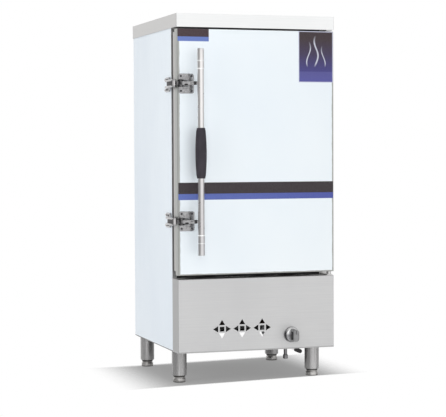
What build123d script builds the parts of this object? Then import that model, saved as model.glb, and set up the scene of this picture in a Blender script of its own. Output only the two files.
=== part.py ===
from build123d import *
import math
import os

# Gas steam cabinet with one insulated door over a burner compartment.
# Millimetres. X runs across the cabinet with 0 in its middle, Y runs from front to back
# with 0 on the door's front face, and Z runs up from the floor.
# The finished pieces are moved so that the origin is on the floor, in the middle of the whole object.

# Cabinet body
CAP_WIDTH = 700.0
CAP_DEPTH = 708.0
HEIGHT = 1550.0
CAP_BAND = 56.0
CAP_LIP = 3.0
BODY_BOTTOM = 139.0
FACE_Y = 87.0
SHEET = 1.0
FRONT_FLANGE = 30.0
REAR_FLANGE = 15.0
BEND_R = 2.5
PANEL_SLACK = 0.2
BACK_SCREWS = 6
BACK_SCREW_INSET = 60.0

# Lower front panel
LOWER_HEIGHT = 308.0
LOWER_RETURN = 20.0
STAR_COUNT = 3
STAR_INSET = 190.0
STAR_PITCH = 89.0
STAR_RISE = 96.0
STAR_HALF = 39.0
STAR_SQUARE = 10.0
STAR_RING = 7.0
STAR_BASE = 13.5

# Steam chamber inside the walls
SIDE_WALL = 40.0
REAR_WALL = 57.0
TOP_WALL = 90.0
SILL = 45.0
LINER_SHEET = 0.8

# Tray rack
TRAY_PITCH = 75.0
FIRST_RAIL = 25.0
TOP_ROOM = 60.0
RAIL_LEDGE = 25.0
RAIL_DROP = 20.0
RAIL_SHEET = 1.5
RAIL_FRONT_GAP = 22.0
RAIL_BACK_GAP = 48.0
POST_THICK = 2.0
POST_WIDTH = 25.0
POST_INSET = 30.0
POST_OVER = 30.0

# Water tank under the chamber's floor, with the plate over it and the flame skirt under it
TANK_SIDE_GAP = 45.0
TANK_FRONT_GAP = 87.0
TANK_BACK_GAP = 53.0
TANK_HEIGHT = 151.2
TANK_SHEET = 1.5
TANK_FLANGE = 18.0
FLOOR_LEDGE = 15.0
PLATE_OVERLAP = 5.0
PLATE_HEIGHT = 12.0
PLATE_SHEET = 1.5
SLOT_LENGTH = 50.0
SLOT_WIDTH = 10.0
SLOT_COLUMNS = 6
SLOT_ROWS = 5
SKIRT_INSET = 10.0
SKIRT_BACK_INSET = 5.0
SKIRT_HEIGHT = 64.0

# Flue and vent
DUCT_WIDTH = 250.0
DUCT_RISE = 6.0
DUCT_DROP = 80.0
DUCT_DEPTH = 27.0
COLLAR_R = 40.0
COLLAR_WALL = 1.5
COLLAR_DROP = 45.0
COLLAR_RIM_R = 52.0
VENT_PIPE_R = 12.0
VENT_SLEEVE_R = 13.0
VENT_INSET = 100.0
VENT_DROP = 40.0
CONNECT_REACH = 30.0

# Base frame, legs and feet
ANGLE_LEG = 30.0
ANGLE_THICK = 3.0
RAIL_BAR_DROP = 54.0
RAIL_BAR_WIDTH = 40.0
RAIL_BAR_INSET = 32.0
LEG_INSET = 48.0
LEG_FRONT_INSET = 58.0
LEG_BACK_INSET = 41.0
LEG_R = 31.5
LEG_WALL = 2.0
LEG_PLATE = 80.0
LEG_PLATE_THICK = 3.0
LEG_PLUG = 15.0
BOLT_OFFSET = 29.0
BOLT_R = 3.0
BOLT_HEAD_R = 5.0
BOLT_HEAD = 4.0
BOLT_LENGTH = 14.0
FOOT_HEIGHT = 29.7
FOOT_R = 26.5
FOOT_EDGE = 2.5
FOOT_BASE = 15.0
FOOT_WAIST_R = 23.5
FOOT_WAIST_LOW = 19.0
FOOT_WAIST_HIGH = 23.0
FOOT_COLLAR_R = 25.5
FOOT_COLLAR_LOW = 25.0
FOOT_GAP = 0.3
STUD_R = 8.0
STUD_RISE = 32.0
RUNNING = 0.08
HOLE_CLEARANCE = 0.2

# Burner and gas line
BURNER_PITCH = 80.0
BURNER_EDGE = 35.0
BURNER_END_GAP = 20.0
BURNER_WIDTH = 30.0
BURNER_HEIGHT = 30.0
BURNER_WALL = 4.0
BURNER_RIB = 4.0
PORT_PITCH = 23.5
PORT_WIDTH = 2.0
FEED_HOLE_R = 8.0
MANIFOLD_OVER = 25.0
MANIFOLD_DEPTH = 30.0
MANIFOLD_WALL = 2.0
VENTURI_X = 40.0
VENTURI_R = 14.0
VENTURI_MOUTH_R = 20.0
VENTURI_LENGTH = 72.0
VENTURI_BELL = 24.0
PIPE_R = 10.65
PIPE_BORE = 8.0
PIPE_BEND = 23.0
THREAD_R = 10.48
THREAD_LENGTH = 20.0
GAS_PIPE_INSET = 75.0
FEED_R = 6.0
FEED_BORE = 4.0
FEED_BEND = 13.0
FEED_ENTRY = 4.0
PILOT_R = 3.0
PILOT_BORE = 1.5
PILOT_BEND = 12.0
PILOT_OFFSET = 8.0
PILOT_SEAT = 4.0
PILOT_NUT_R = 6.0
PILOT_REACH = 12.0
PILOT_HEAD = 14.0
PILOT_HEAD_HALF = 8.0
PILOT_HEAD_LOW = 4.0
PILOT_HEAD_HIGH = 6.0
ELECTRODE_OFFSET = 5.0
ELECTRODE_R = 1.2
ELECTRODE_RISE = 14.0
PROBE_R = 1.6
PROBE_RISE = 12.0

# Gas knob and valve
KNOB_INSET = 195.0
KNOB_DROP = 40.0
BEZEL_R = 34.0
BEZEL_THICK = 2.0
KNOB_SKIRT_R = 32.0
KNOB_SKIRT_TAPER = 4.0
KNOB_SKIRT = 13.0
KNOB_GRIP_WIDTH = 31.0
KNOB_GRIP_HEIGHT = 54.0
KNOB_GRIP_TAPER = 4.0
KNOB_REACH = 62.0
KNOB_GAP = 0.5
PUSH_TRAVEL = 4.0
STEM_R = 4.0
PUSH_RING_R = 6.5
PUSH_RING = 8.0
PUSH_RING_SETBACK = 6.0
VALVE_Y = 45.0
VALVE_R = 17.0
VALVE_FRONT = 22.0
VALVE_REAR = 18.0
VALVE_NOSE_R = 11.0
VALVE_PORT_R = 13.0
VALVE_HALF = 22.0
VALVE_SEAT = 5.0
PORT_DEPTH = 8.0
STEM_END_GAP = 12.0

# Level box, float and water inlet
BOX_WALL_GAP = 6.0
LEVEL_PIPE = 15.0
BOX_LENGTH = 160.0
BOX_HEIGHT = 90.0
BOX_BACK_INSET = 35.0
BOX_RISE = 45.0
BOX_TAB = 20.0
BOX_TAB_HEIGHT = 15.0
LEVEL_PIPE_R = 7.0
LEVEL_PIPE_RISE = 15.0
LEVEL_PIPE_INSET = 70.0
WATER_DROP = 20.0
FLOAT_CLEAR = 4.5
FLOAT_ARM = 80.0
FLOAT_ROD_R = 2.5
FLOAT_DROP_DEG = 25.0
FLOAT_PIN_R = 2.0
FLOAT_HUB_R = 5.0
FLOAT_HUB_HALF = 4.5
FLOAT_PIVOT_INSET = 36.0
FORK_GAP = 0.5
FORK_THICK = 3.0
FORK_R = 6.0
FORK_ROOT_R = 7.0
FORK_ROOT = 20.0
FLOAT_VALVE_R = 12.0
FLOAT_VALVE_LENGTH = 22.0
FLOAT_VALVE_BORE = 5.0
FLOAT_VALVE_WALL = 4.0

# Drain
DRAIN_INSET = 166.0
DRAIN_STANDOFF = 25.0
DRAIN_PIPE_R = 7.5
DRAIN_BORE = 6.0
DRAIN_BEND = 17.0
DRAIN_OUTLET_RISE = 18.0
DRAIN_VALVE_DROP = 1.0
DRAIN_VALVE_HEIGHT = 32.0
DRAIN_VALVE_R = 14.0
DRAIN_BOSS_R = 8.0
DRAIN_BOSS = 6.0
DRAIN_STEM_SEAT = 7.0
NOZZLE_DROP = 61.0
NOZZLE_R = 10.5
NOZZLE_END = 18.0
NOZZLE_CHAMFER = 2.0
LEVER_REACH = 66.0
LEVER_HUB_R = 9.0
LEVER_TIP_R = 6.0
LEVER_DROOP_DEG = 26.0
LEVER_THICK = 3.0
LEVER_GAP = 0.5
GRIP_SLEEVE_START = 46.0
GRIP_SLEEVE_WALL = 3.0
GRIP_SLEEVE_NEAR_R = 10.0
GRIP_SLEEVE_FAR_R = 9.0

# Door
DOOR_GAP_BOTTOM = 17.0
DOOR_GAP_TOP = 7.0
DOOR_THICK = 62.0
SKIN_RETURN = 38.0
PAN_RIM = 2.0
INNER_INSET_BOTTOM = 17.0
INNER_INSET_TOP = 12.0
GASKET_INSET = 14.0
GASKET_WIDTH = 13.0
GASKET_INSET_BOTTOM = 20.0
GASKET_INSET_TOP = 14.0
GASKET_GAP = 0.3
GASKET_GROOVE = 6.0
GASKET_GROOVE_DEPTH = 4.0
CORE_SLACK = 0.4

# Hinge
HINGE_INSET = 13.0
HINGE_Y = 25.0
HINGE_PIN_R = 5.0
PIN_END_GAP = 2.0
BUSH_R = 8.0
BUSH_DEPTH = 24.0
BUSH_COLLAR_R = 9.5
BRACKET_THICK = 4.0
BRACKET_WIDTH = 26.0
BRACKET_MARGIN = 2.0

# Door latch
LATCH_LOW_RISE = 226.0
LATCH_HIGH_DROP = 227.0
LATCH_PLATE_INSET = 5.0
LATCH_PLATE_WIDTH = 66.0
LATCH_PLATE_HEIGHT = 82.0
LATCH_PLATE_THICK = 3.0
LATCH_CORNER_R = 8.0
LATCH_SCREW_INSET = 10.0
PIVOT_INSET = 6.0
PIVOT_Y = -30.0
PIVOT_R = 4.0
PIVOT_OVER = 2.0
LEVER_HEIGHT = 15.0
CHEEK_THICK = 6.0
CHEEK_GAP = 2.0
CHEEK_FOOT = 42.0
CHEEK_TOE = 36.0
CHEEK_TOE_R = 6.0
CHEEK_TOE_Y = 12.0
HUB_R = 11.0
ARM_END_R = 6.5
ARM_LENGTH = 56.0
ARM_SOCKET = 18.0
NOSE_LENGTH = 21.0
NOSE_R = 4.0
NOSE_DEG = 155.0
NECK_R = 9.0
SCREW_R = 2.5
SCREW_HEAD_R = 4.8
SCREW_HEAD = 2.4
SCREW_LENGTH = 12.0

# Handle
TUBE_INSET = 83.0
TUBE_Y = -60.0
TUBE_R = 13.5
TUBE_WALL = 1.5
TUBE_LOW_RISE = 86.0
TUBE_HIGH_DROP = 85.0
SLEEVE_R = 14.3
SLEEVE_EDGE = 2.0
SLEEVE_LENGTH = 85.0
SLEEVE_GROOVE = 50.0
GROOVE_WIDTH = 2.0
GROOVE_DEPTH = 0.4
GRIP_LENGTH = 208.0
GRIP_DROP = 4.0
GRIP_END = 12.0
GRIP_LIP = 3.0
GRIP_END_R = 19.5
GRIP_MIDDLE_R = 23.5

# Latch keeper on the cabinet's side
NOSE_GAP = 0.4
ROLLER_R = 6.0
ROLLER_HEIGHT = 24.0
ROLLER_PIN_R = 2.5
ROLLER_PIN_OVER = 1.5
ROLLER_Y = -31.0
ROLLER_END_GAP = 0.5
ROLLER_SIDE_GAP = 1.5
EAR_THICK = 4.0
EAR_R = 7.0
KEEPER_MARGIN = 8.0
KEEPER_PLATE = 5.0
KEEPER_SETBACK = 6.0
KEEPER_LENGTH = 94.0
KEEPER_HALF = 31.0
KEEPER_WING = 62.0
KEEPER_TIP_DROP = 9.0
KEEPER_TAIL_DROP = 19.0
KEEPER_NOTCH = 30.0
KEEPER_NOTCH_HALF = 6.0
KEEPER_SHOULDER = 12.0
KEEPER_ROOT = 33.0
KEEPER_BRACE = 15.0
KEEPER_HEEL = 3.0
KEEPER_ARM_CLEAR = 19.0
KEEPER_SCREW_INSET = 9.0
KEEPER_SCREW_STEP = 25.0
WEB_Y = -20.0

# Printed strips on the door
STICKER = 0.3
BAND_RISE = 314.0
BAND_HEIGHT = 72.0
LABEL_WIDTH = 135.0
LABEL_HEIGHT = 51.0
LEAFLET_WIDTH = 156.0
LEAFLET_HEIGHT = 216.0
LEAFLET_INSET = 2.5

# Places worked out from the sizes above
CAP_X = CAP_WIDTH / 2
BODY_X = CAP_X - CAP_LIP
BODY_BACK = CAP_DEPTH - CAP_LIP
BODY_TOP = HEIGHT - SHEET
CAP_BOTTOM = HEIGHT - CAP_BAND
WEB_X = BODY_X - SHEET
FRAME_BACK = FACE_Y + SHEET
FLANGE_BACK = FRAME_BACK + SHEET
REAR_INSIDE = BODY_BACK - 2 * SHEET
CONNECT_Y = BODY_BACK + CONNECT_REACH

LOWER_TOP = BODY_BOTTOM + LOWER_HEIGHT
CHAMBER_X = CAP_X - SIDE_WALL
CHAMBER_BACK = BODY_BACK - REAR_WALL
CHAMBER_BOTTOM = LOWER_TOP + SILL
CHAMBER_TOP = HEIGHT - TOP_WALL
LINER_X = CHAMBER_X + LINER_SHEET
LINER_BACK = CHAMBER_BACK + LINER_SHEET
LINER_BOTTOM = CHAMBER_BOTTOM - LINER_SHEET
LINER_TOP = CHAMBER_TOP + LINER_SHEET

RAIL_FRONT = FRAME_BACK + RAIL_FRONT_GAP
RAIL_BACK = CHAMBER_BACK - RAIL_BACK_GAP
FIRST_RAIL_Z = CHAMBER_BOTTOM + FIRST_RAIL
TRAY_LEVELS = int((CHAMBER_TOP - TOP_ROOM - FIRST_RAIL_Z) / TRAY_PITCH) + 1

TANK_X = CHAMBER_X - TANK_SIDE_GAP
TANK_FRONT = FRAME_BACK + TANK_FRONT_GAP
TANK_BACK = CHAMBER_BACK - TANK_BACK_GAP
TANK_BOTTOM = LINER_BOTTOM - TANK_HEIGHT
PLATE_X = TANK_X + PLATE_OVERLAP
PLATE_TOP = CHAMBER_BOTTOM + PLATE_HEIGHT
SKIRT_X = TANK_X - SKIRT_INSET
SKIRT_FRONT = TANK_FRONT + SKIRT_INSET
SKIRT_BACK = TANK_BACK - SKIRT_BACK_INSET
SKIRT_BOTTOM = TANK_BOTTOM - SKIRT_HEIGHT

DUCT_X = DUCT_WIDTH / 2
DUCT_BOTTOM = SKIRT_BOTTOM + DUCT_RISE
DUCT_TOP = CHAMBER_TOP - DUCT_DROP
DUCT_BACK = BODY_BACK - SHEET
DUCT_FRONT = DUCT_BACK - DUCT_DEPTH
COLLAR_Z = DUCT_TOP - COLLAR_DROP
VENT_X = -(CHAMBER_X - VENT_INSET)
VENT_Z = CHAMBER_TOP - VENT_DROP

FRAME_FLAT_TOP = BODY_BOTTOM + ANGLE_THICK
RAIL_BAR_Z = SKIRT_BOTTOM - RAIL_BAR_DROP
BURNER_BOTTOM = RAIL_BAR_Z + ANGLE_THICK
BURNER_TOP = BURNER_BOTTOM + BURNER_HEIGHT
BURNER_Z = BURNER_BOTTOM + BURNER_HEIGHT / 2
MANIFOLD_FRONT = SKIRT_FRONT + BURNER_END_GAP
BURNER_FRONT = MANIFOLD_FRONT + MANIFOLD_DEPTH
BURNER_BACK = SKIRT_BACK - BURNER_END_GAP
BURNER_COUNT = int(2 * (SKIRT_X - BURNER_EDGE) / BURNER_PITCH)
MANIFOLD_X = (BURNER_COUNT - 1) / 2 * BURNER_PITCH + MANIFOLD_OVER
VENTURI_MOUTH = MANIFOLD_FRONT - VENTURI_LENGTH

LEG_X = CAP_X - LEG_INSET
LEG_FRONT_Y = FRAME_BACK + LEG_FRONT_INSET
LEG_BACK_Y = BODY_BACK - LEG_BACK_INSET
LEG_TOP = BODY_BOTTOM - LEG_PLATE_THICK
LEG_BOTTOM = FOOT_HEIGHT + FOOT_GAP
STUD_TOP = LEG_BOTTOM + STUD_RISE

KNOB_X = BODY_X - KNOB_INSET
KNOB_Z = BURNER_Z - KNOB_DROP
GAS_PIPE_X = CHAMBER_X - GAS_PIPE_INSET

BOX_OUT_X = BOX_WALL_GAP - WEB_X
BOX_IN_X = -TANK_X - LEVEL_PIPE
BOX_BACK = TANK_BACK - BOX_BACK_INSET
BOX_FRONT = BOX_BACK - BOX_LENGTH
BOX_BOTTOM = TANK_BOTTOM + BOX_RISE
BOX_TOP = BOX_BOTTOM + BOX_HEIGHT
LEVEL_PIPE_Z = BOX_BOTTOM + LEVEL_PIPE_RISE
LEVEL_PIPE_Y = BOX_FRONT + LEVEL_PIPE_INSET
WATER_Z = BOX_TOP - WATER_DROP
FLOAT_X = (BOX_OUT_X + BOX_IN_X) / 2
FLOAT_R = (BOX_IN_X - BOX_OUT_X) / 2 - TANK_SHEET - FLOAT_CLEAR
FLOAT_PIVOT_Y = BOX_BACK - FLOAT_PIVOT_INSET

DRAIN_X = BODY_X - DRAIN_INSET
DRAIN_Y = TANK_FRONT - DRAIN_STANDOFF
DRAIN_OUTLET_Z = TANK_BOTTOM + DRAIN_OUTLET_RISE
DRAIN_VALVE_Z = BODY_BOTTOM - DRAIN_VALVE_DROP
NOZZLE_BOTTOM = DRAIN_VALVE_Z - NOZZLE_DROP
DRAIN_BOSS_Y = DRAIN_Y - DRAIN_VALVE_R - DRAIN_BOSS

DOOR_BOTTOM = LOWER_TOP + DOOR_GAP_BOTTOM
DOOR_TOP = CAP_BOTTOM - DOOR_GAP_TOP
HINGE_X = BODY_X - HINGE_INSET
GASKET_X = BODY_X - GASKET_INSET
GASKET_BACK = FACE_Y - GASKET_GAP
GASKET_BOTTOM = DOOR_BOTTOM + GASKET_INSET_BOTTOM
GASKET_TOP = DOOR_TOP - GASKET_INSET_TOP
BAND_BOTTOM = DOOR_BOTTOM + BAND_RISE

LATCH_PLACES = (DOOR_BOTTOM + LATCH_LOW_RISE, DOOR_TOP - LATCH_HIGH_DROP)
LATCH_PLATE_X = LATCH_PLATE_INSET - BODY_X
PIVOT_X = PIVOT_INSET - BODY_X
TUBE_X = TUBE_INSET - BODY_X
TUBE_BOTTOM = DOOR_BOTTOM + TUBE_LOW_RISE
TUBE_TOP = DOOR_TOP - TUBE_HIGH_DROP
ARM_DEG = math.degrees(math.atan2(TUBE_Y - PIVOT_Y, TUBE_X - PIVOT_X))
ARM_REACH = math.hypot(TUBE_X - PIVOT_X, TUBE_Y - PIVOT_Y)
NOSE_X = PIVOT_X + NOSE_LENGTH * math.cos(math.radians(NOSE_DEG))
NOSE_Y = PIVOT_Y + NOSE_LENGTH * math.sin(math.radians(NOSE_DEG))
CHEEK_INSIDE = LEVER_HEIGHT / 2 + CHEEK_GAP
CHEEK_OUTSIDE = CHEEK_INSIDE + CHEEK_THICK
GRIP_MIDDLE = (TUBE_BOTTOM + TUBE_TOP) / 2 - GRIP_DROP
GRIP_BOTTOM = GRIP_MIDDLE - GRIP_LENGTH / 2
GRIP_TOP = GRIP_MIDDLE + GRIP_LENGTH / 2
GRIP_FRONT = TUBE_Y - GRIP_MIDDLE_R

ROLLER_X = NOSE_X - NOSE_R - NOSE_GAP - ROLLER_R
KEEPER_X = ROLLER_X - KEEPER_MARGIN
KEEPER_FRONT = FACE_Y + KEEPER_SETBACK
KEEPER_ARM_HALF = ROLLER_HEIGHT / 2 + ROLLER_END_GAP + EAR_THICK

ORIGIN_X = (KEEPER_X + CAP_X) / 2
ORIGIN_Y = (GRIP_FRONT + CONNECT_Y) / 2


def block(x0, x1, y0, y1, z0, z1):
    """A box between two corners."""
    middle = Pos((x0 + x1) / 2, (y0 + y1) / 2, (z0 + z1) / 2)
    return middle * Box(abs(x1 - x0), abs(y1 - y0), abs(z1 - z0))


def rod_x(y, z, x0, x1, r):
    return Pos((x0 + x1) / 2, y, z) * Rot(0, 90, 0) * Cylinder(r, abs(x1 - x0))


def rod_y(x, z, y0, y1, r):
    return Pos(x, (y0 + y1) / 2, z) * Rot(90, 0, 0) * Cylinder(r, abs(y1 - y0))


def rod_z(x, y, z0, z1, r):
    return Pos(x, y, (z0 + z1) / 2) * Cylinder(r, abs(z1 - z0))


def slab_x(sketch, x0, x1):
    """A sketch of (Y, Z) made solid from x0 to x1."""
    return extrude(Plane.YZ.offset(x0) * sketch, amount=x1 - x0, dir=(1, 0, 0))


def slab_y(sketch, y0, y1):
    """A sketch of (X, Z) made solid from y0 to y1."""
    return extrude(Plane.XZ.offset(-y0) * sketch, amount=y1 - y0, dir=(0, 1, 0))


def slab_z(sketch, z0, z1):
    """A sketch of (X, Y) made solid from z0 to z1."""
    return extrude(Plane.XY.offset(z0) * sketch, amount=z1 - z0, dir=(0, 0, 1))


def outline(*points):
    return Polygon(*points, align=None)


def link(ax, ay, ar, bx, by, br):
    """Two circles joined by their outer tangents."""
    away = math.atan2(by - ay, bx - ax)
    lean = math.acos((ar - br) / math.hypot(bx - ax, by - ay))
    sides = []
    for x, y, r, turn in ((ax, ay, ar, lean), (ax, ay, ar, -lean), (bx, by, br, -lean), (bx, by, br, lean)):
        sides.append((x + r * math.cos(away + turn), y + r * math.sin(away + turn)))
    return Pos(ax, ay) * Circle(ar) + Pos(bx, by) * Circle(br) + outline(*sides)


def pipe(points, bend, outer, bore):
    """A round pipe along straight runs with tangent bends."""
    path = FilletPolyline(*points, radius=bend)
    start = Plane(path @ 0, z_dir=path % 0)
    return sweep(start * Circle(outer), path) - sweep(start * Circle(bore), path)


def straight_pipe_y(x, z, y0, y1, outer, bore):
    return rod_y(x, z, y0, y1, outer) - rod_y(x, z, y0, y1, bore)


# Body shell


def side_panel(side):
    web = block(side * WEB_X, side * BODY_X, FRAME_BACK, BODY_BACK, BODY_BOTTOM, BODY_TOP)
    inner = side * (BODY_X - FRONT_FLANGE)
    front = block(inner, side * BODY_X, FRAME_BACK, FLANGE_BACK, BODY_BOTTOM, BODY_TOP)
    inner = side * (BODY_X - REAR_FLANGE)
    rear = block(inner, side * BODY_X, REAR_INSIDE, REAR_INSIDE + SHEET, BODY_BOTTOM, BODY_TOP)
    return web + front + rear


def back_screw_places():
    edge = WEB_X - REAR_FLANGE / 2
    first = BODY_BOTTOM + BACK_SCREW_INSET
    step = (BODY_TOP - BACK_SCREW_INSET - first) / (BACK_SCREWS - 1)
    heights = [first + i * step for i in range(BACK_SCREWS)]
    return [(side * edge, z) for side in (-1, 1) for z in heights]


def back_panel():
    panel = block(-WEB_X, WEB_X, BODY_BACK - SHEET, BODY_BACK, BODY_BOTTOM, BODY_TOP)
    y0 = BODY_BACK - SHEET - 1
    y1 = BODY_BACK + 1
    panel -= rod_y(0, COLLAR_Z, y0, y1, COLLAR_R + HOLE_CLEARANCE)
    panel -= rod_y(VENT_X, VENT_Z, y0, y1, VENT_SLEEVE_R + HOLE_CLEARANCE)
    panel -= rod_y(GAS_PIPE_X, KNOB_Z, y0, y1, PIPE_R + HOLE_CLEARANCE)
    panel -= rod_y(FLOAT_X, WATER_Z, y0, y1, PIPE_R + HOLE_CLEARANCE)
    for x, z in back_screw_places():
        panel -= rod_y(x, z, y0, y1, SCREW_R + HOLE_CLEARANCE)
    return panel


def back_screws():
    screws = []
    for x, z in back_screw_places():
        head = rod_y(x, z, BODY_BACK, BODY_BACK + SCREW_HEAD, SCREW_HEAD_R)
        screws.append(head + rod_y(x, z, BODY_BACK - SHEET, BODY_BACK, SCREW_R))
    return screws


def top_cap():
    """Top cover with a deep band, folded back to the body's face under its overhang."""
    outer = block(-CAP_X, CAP_X, 0, CAP_DEPTH, CAP_BOTTOM, HEIGHT)
    corners = outer.edges().filter_by(Axis.Z)
    outer = fillet(corners, BEND_R)
    inside = block(-CAP_X + SHEET, CAP_X - SHEET, SHEET, CAP_DEPTH - SHEET, CAP_BOTTOM + SHEET, BODY_TOP)
    mouth = block(-CAP_X + SHEET, CAP_X - SHEET, FACE_Y, CAP_DEPTH - SHEET, CAP_BOTTOM - 1, BODY_TOP)
    return outer - inside - mouth


def front_frame():
    """Four flat strips welded round the chamber's mouth."""
    strips = [
        block(-CHAMBER_X, CHAMBER_X, FACE_Y, FRAME_BACK, LOWER_TOP, CHAMBER_BOTTOM),
        block(-CHAMBER_X, CHAMBER_X, FACE_Y, FRAME_BACK, CHAMBER_TOP, BODY_TOP),
    ]
    for side in (-1, 1):
        strips.append(block(side * CHAMBER_X, side * BODY_X, FACE_Y, FRAME_BACK, LOWER_TOP, BODY_TOP))
    return strips


# Base frame, legs and feet


def leg_places():
    return [(x, y) for x in (-LEG_X, LEG_X) for y in (LEG_FRONT_Y, LEG_BACK_Y)]


def bolt_places(x, y):
    return [(x + i * BOLT_OFFSET, y + j * BOLT_OFFSET) for i in (-1, 1) for j in (-1, 1)]


def base_frame():
    x = WEB_X
    flat = block(-x, x, FLANGE_BACK, REAR_INSIDE, BODY_BOTTOM, FRAME_FLAT_TOP)
    inside = block(
        ANGLE_LEG - x,
        x - ANGLE_LEG,
        FLANGE_BACK + ANGLE_LEG,
        REAR_INSIDE - ANGLE_LEG,
        BODY_BOTTOM - 1,
        FRAME_FLAT_TOP + 1,
    )
    upright = block(-x, x, FLANGE_BACK, REAR_INSIDE, BODY_BOTTOM, BODY_BOTTOM + ANGLE_LEG)
    hollow = block(
        ANGLE_THICK - x,
        x - ANGLE_THICK,
        FLANGE_BACK + ANGLE_THICK,
        REAR_INSIDE - ANGLE_THICK,
        BODY_BOTTOM - 1,
        BODY_BOTTOM + ANGLE_LEG + 1,
    )
    frame = (flat - inside) + (upright - hollow)
    half = LEG_PLATE / 2
    for leg_x, leg_y in leg_places():
        back = min(leg_y + half, REAR_INSIDE)
        frame += block(leg_x - half, leg_x + half, leg_y - half, back, BODY_BOTTOM, FRAME_FLAT_TOP)
    for y in (BURNER_FRONT + RAIL_BAR_INSET, BURNER_BACK - RAIL_BAR_INSET):
        y0 = y - RAIL_BAR_WIDTH / 2
        y1 = y + RAIL_BAR_WIDTH / 2
        frame += block(-x, x, y0, y1, RAIL_BAR_Z, BURNER_BOTTOM)
        for side in (-1, 1):
            frame += block(side * (x - ANGLE_THICK), side * x, y0, y1, BODY_BOTTOM, BURNER_BOTTOM)
    for leg_x, leg_y in leg_places():
        for bolt_x, bolt_y in bolt_places(leg_x, leg_y):
            frame -= rod_z(bolt_x, bolt_y, BODY_BOTTOM - 1, FRAME_FLAT_TOP + 1, BOLT_R + HOLE_CLEARANCE)
    return frame


def leg(x, y):
    half = LEG_PLATE / 2
    plate = block(x - half, x + half, y - half, y + half, LEG_TOP, BODY_BOTTOM)
    for bolt_x, bolt_y in bolt_places(x, y):
        plate -= rod_z(bolt_x, bolt_y, LEG_TOP - 1, BODY_BOTTOM + 1, BOLT_R + HOLE_CLEARANCE)
    tube = rod_z(x, y, LEG_BOTTOM, LEG_TOP, LEG_R)
    tube -= rod_z(x, y, LEG_BOTTOM + LEG_PLUG, LEG_TOP, LEG_R - LEG_WALL)
    tube -= rod_z(x, y, LEG_BOTTOM - 1, LEG_BOTTOM + LEG_PLUG + 1, STUD_R + RUNNING)
    return plate + tube


def leg_bolts():
    bolts = []
    for leg_x, leg_y in leg_places():
        for x, y in bolt_places(leg_x, leg_y):
            head = rod_z(x, y, LEG_TOP - BOLT_HEAD, LEG_TOP, BOLT_HEAD_R)
            bolts.append(head + rod_z(x, y, LEG_TOP, LEG_TOP + BOLT_LENGTH, BOLT_R))
    return bolts


def foot(x, y):
    """Screw-in foot: a dished base, a waist, a collar and the stud."""
    profile = Polyline(
        (0, 0),
        (FOOT_R - FOOT_EDGE, 0),
        (FOOT_R, FOOT_EDGE),
        (FOOT_R, FOOT_BASE),
        (FOOT_WAIST_R, FOOT_WAIST_LOW),
        (FOOT_WAIST_R, FOOT_WAIST_HIGH),
        (FOOT_COLLAR_R, FOOT_COLLAR_LOW),
        (FOOT_COLLAR_R, FOOT_HEIGHT),
        (STUD_R, FOOT_HEIGHT),
        (STUD_R, STUD_TOP),
        (0, STUD_TOP),
        (0, 0),
    )
    return Pos(x, y, 0) * revolve(Plane.XZ * make_face(profile), Axis.Z)


# Chamber


def liner_floor():
    """Flat sheets round the tank's mouth, which run on to the outer walls and carry the insulation."""
    wide = WEB_X - PANEL_SLACK
    y0 = FLANGE_BACK + PANEL_SLACK
    y1 = TANK_FRONT + FLOOR_LEDGE
    y2 = TANK_BACK - FLOOR_LEDGE
    y3 = DUCT_FRONT - PANEL_SLACK
    mouth_x = TANK_X - FLOOR_LEDGE
    front = block(-wide, wide, y0, y1, LINER_BOTTOM, CHAMBER_BOTTOM)
    front += block(-LINER_X, LINER_X, FRAME_BACK, y0, LINER_BOTTOM, CHAMBER_BOTTOM)
    sheets = [front, block(-wide, wide, y2, y3, LINER_BOTTOM, CHAMBER_BOTTOM)]
    for side in (-1, 1):
        sheets.append(block(side * mouth_x, side * wide, y1, y2, LINER_BOTTOM, CHAMBER_BOTTOM))
    return sheets


def steam_vent():
    tube = rod_y(VENT_X, VENT_Z, LINER_BACK, BODY_BACK, VENT_SLEEVE_R)
    tube += rod_y(VENT_X, VENT_Z, BODY_BACK, CONNECT_Y, VENT_PIPE_R)
    return tube - rod_y(VENT_X, VENT_Z, LINER_BACK - 1, CONNECT_Y + 1, VENT_PIPE_R - COLLAR_WALL)


def chamber_liner():
    """Flat sheets welded into the inner box, open at the front and over the tank, with a vent at the back."""
    back = block(-CHAMBER_X, CHAMBER_X, CHAMBER_BACK, LINER_BACK, CHAMBER_BOTTOM, CHAMBER_TOP)
    back -= rod_y(VENT_X, VENT_Z, CHAMBER_BACK - 1, LINER_BACK + 1, VENT_PIPE_R - COLLAR_WALL)
    roof = block(-CHAMBER_X, CHAMBER_X, FRAME_BACK, LINER_BACK, CHAMBER_TOP, LINER_TOP)
    sheets = liner_floor() + [back, roof, steam_vent()]
    for side in (-1, 1):
        sheets.append(block(side * CHAMBER_X, side * LINER_X, FRAME_BACK, LINER_BACK, CHAMBER_BOTTOM, LINER_TOP))
    return sheets


def chamber_insulation():
    """Mineral wool slabs: left, right, top and back."""
    s = PANEL_SLACK
    front = FLANGE_BACK + s
    back = REAR_INSIDE - s
    bottom = CHAMBER_BOTTOM + s
    slabs = []
    for side in (-1, 1):
        slabs.append(block(side * (LINER_X + s), side * (WEB_X - s), front, back, bottom, BODY_TOP - s))
    slabs.append(block(-LINER_X, LINER_X, front, back, LINER_TOP + s, BODY_TOP - s))
    rear = block(-LINER_X, LINER_X, LINER_BACK + s, DUCT_FRONT - s, bottom, LINER_TOP)
    slabs.append(rear - rod_y(VENT_X, VENT_Z, LINER_BACK, DUCT_FRONT, VENT_SLEEVE_R + HOLE_CLEARANCE))
    return slabs


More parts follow.
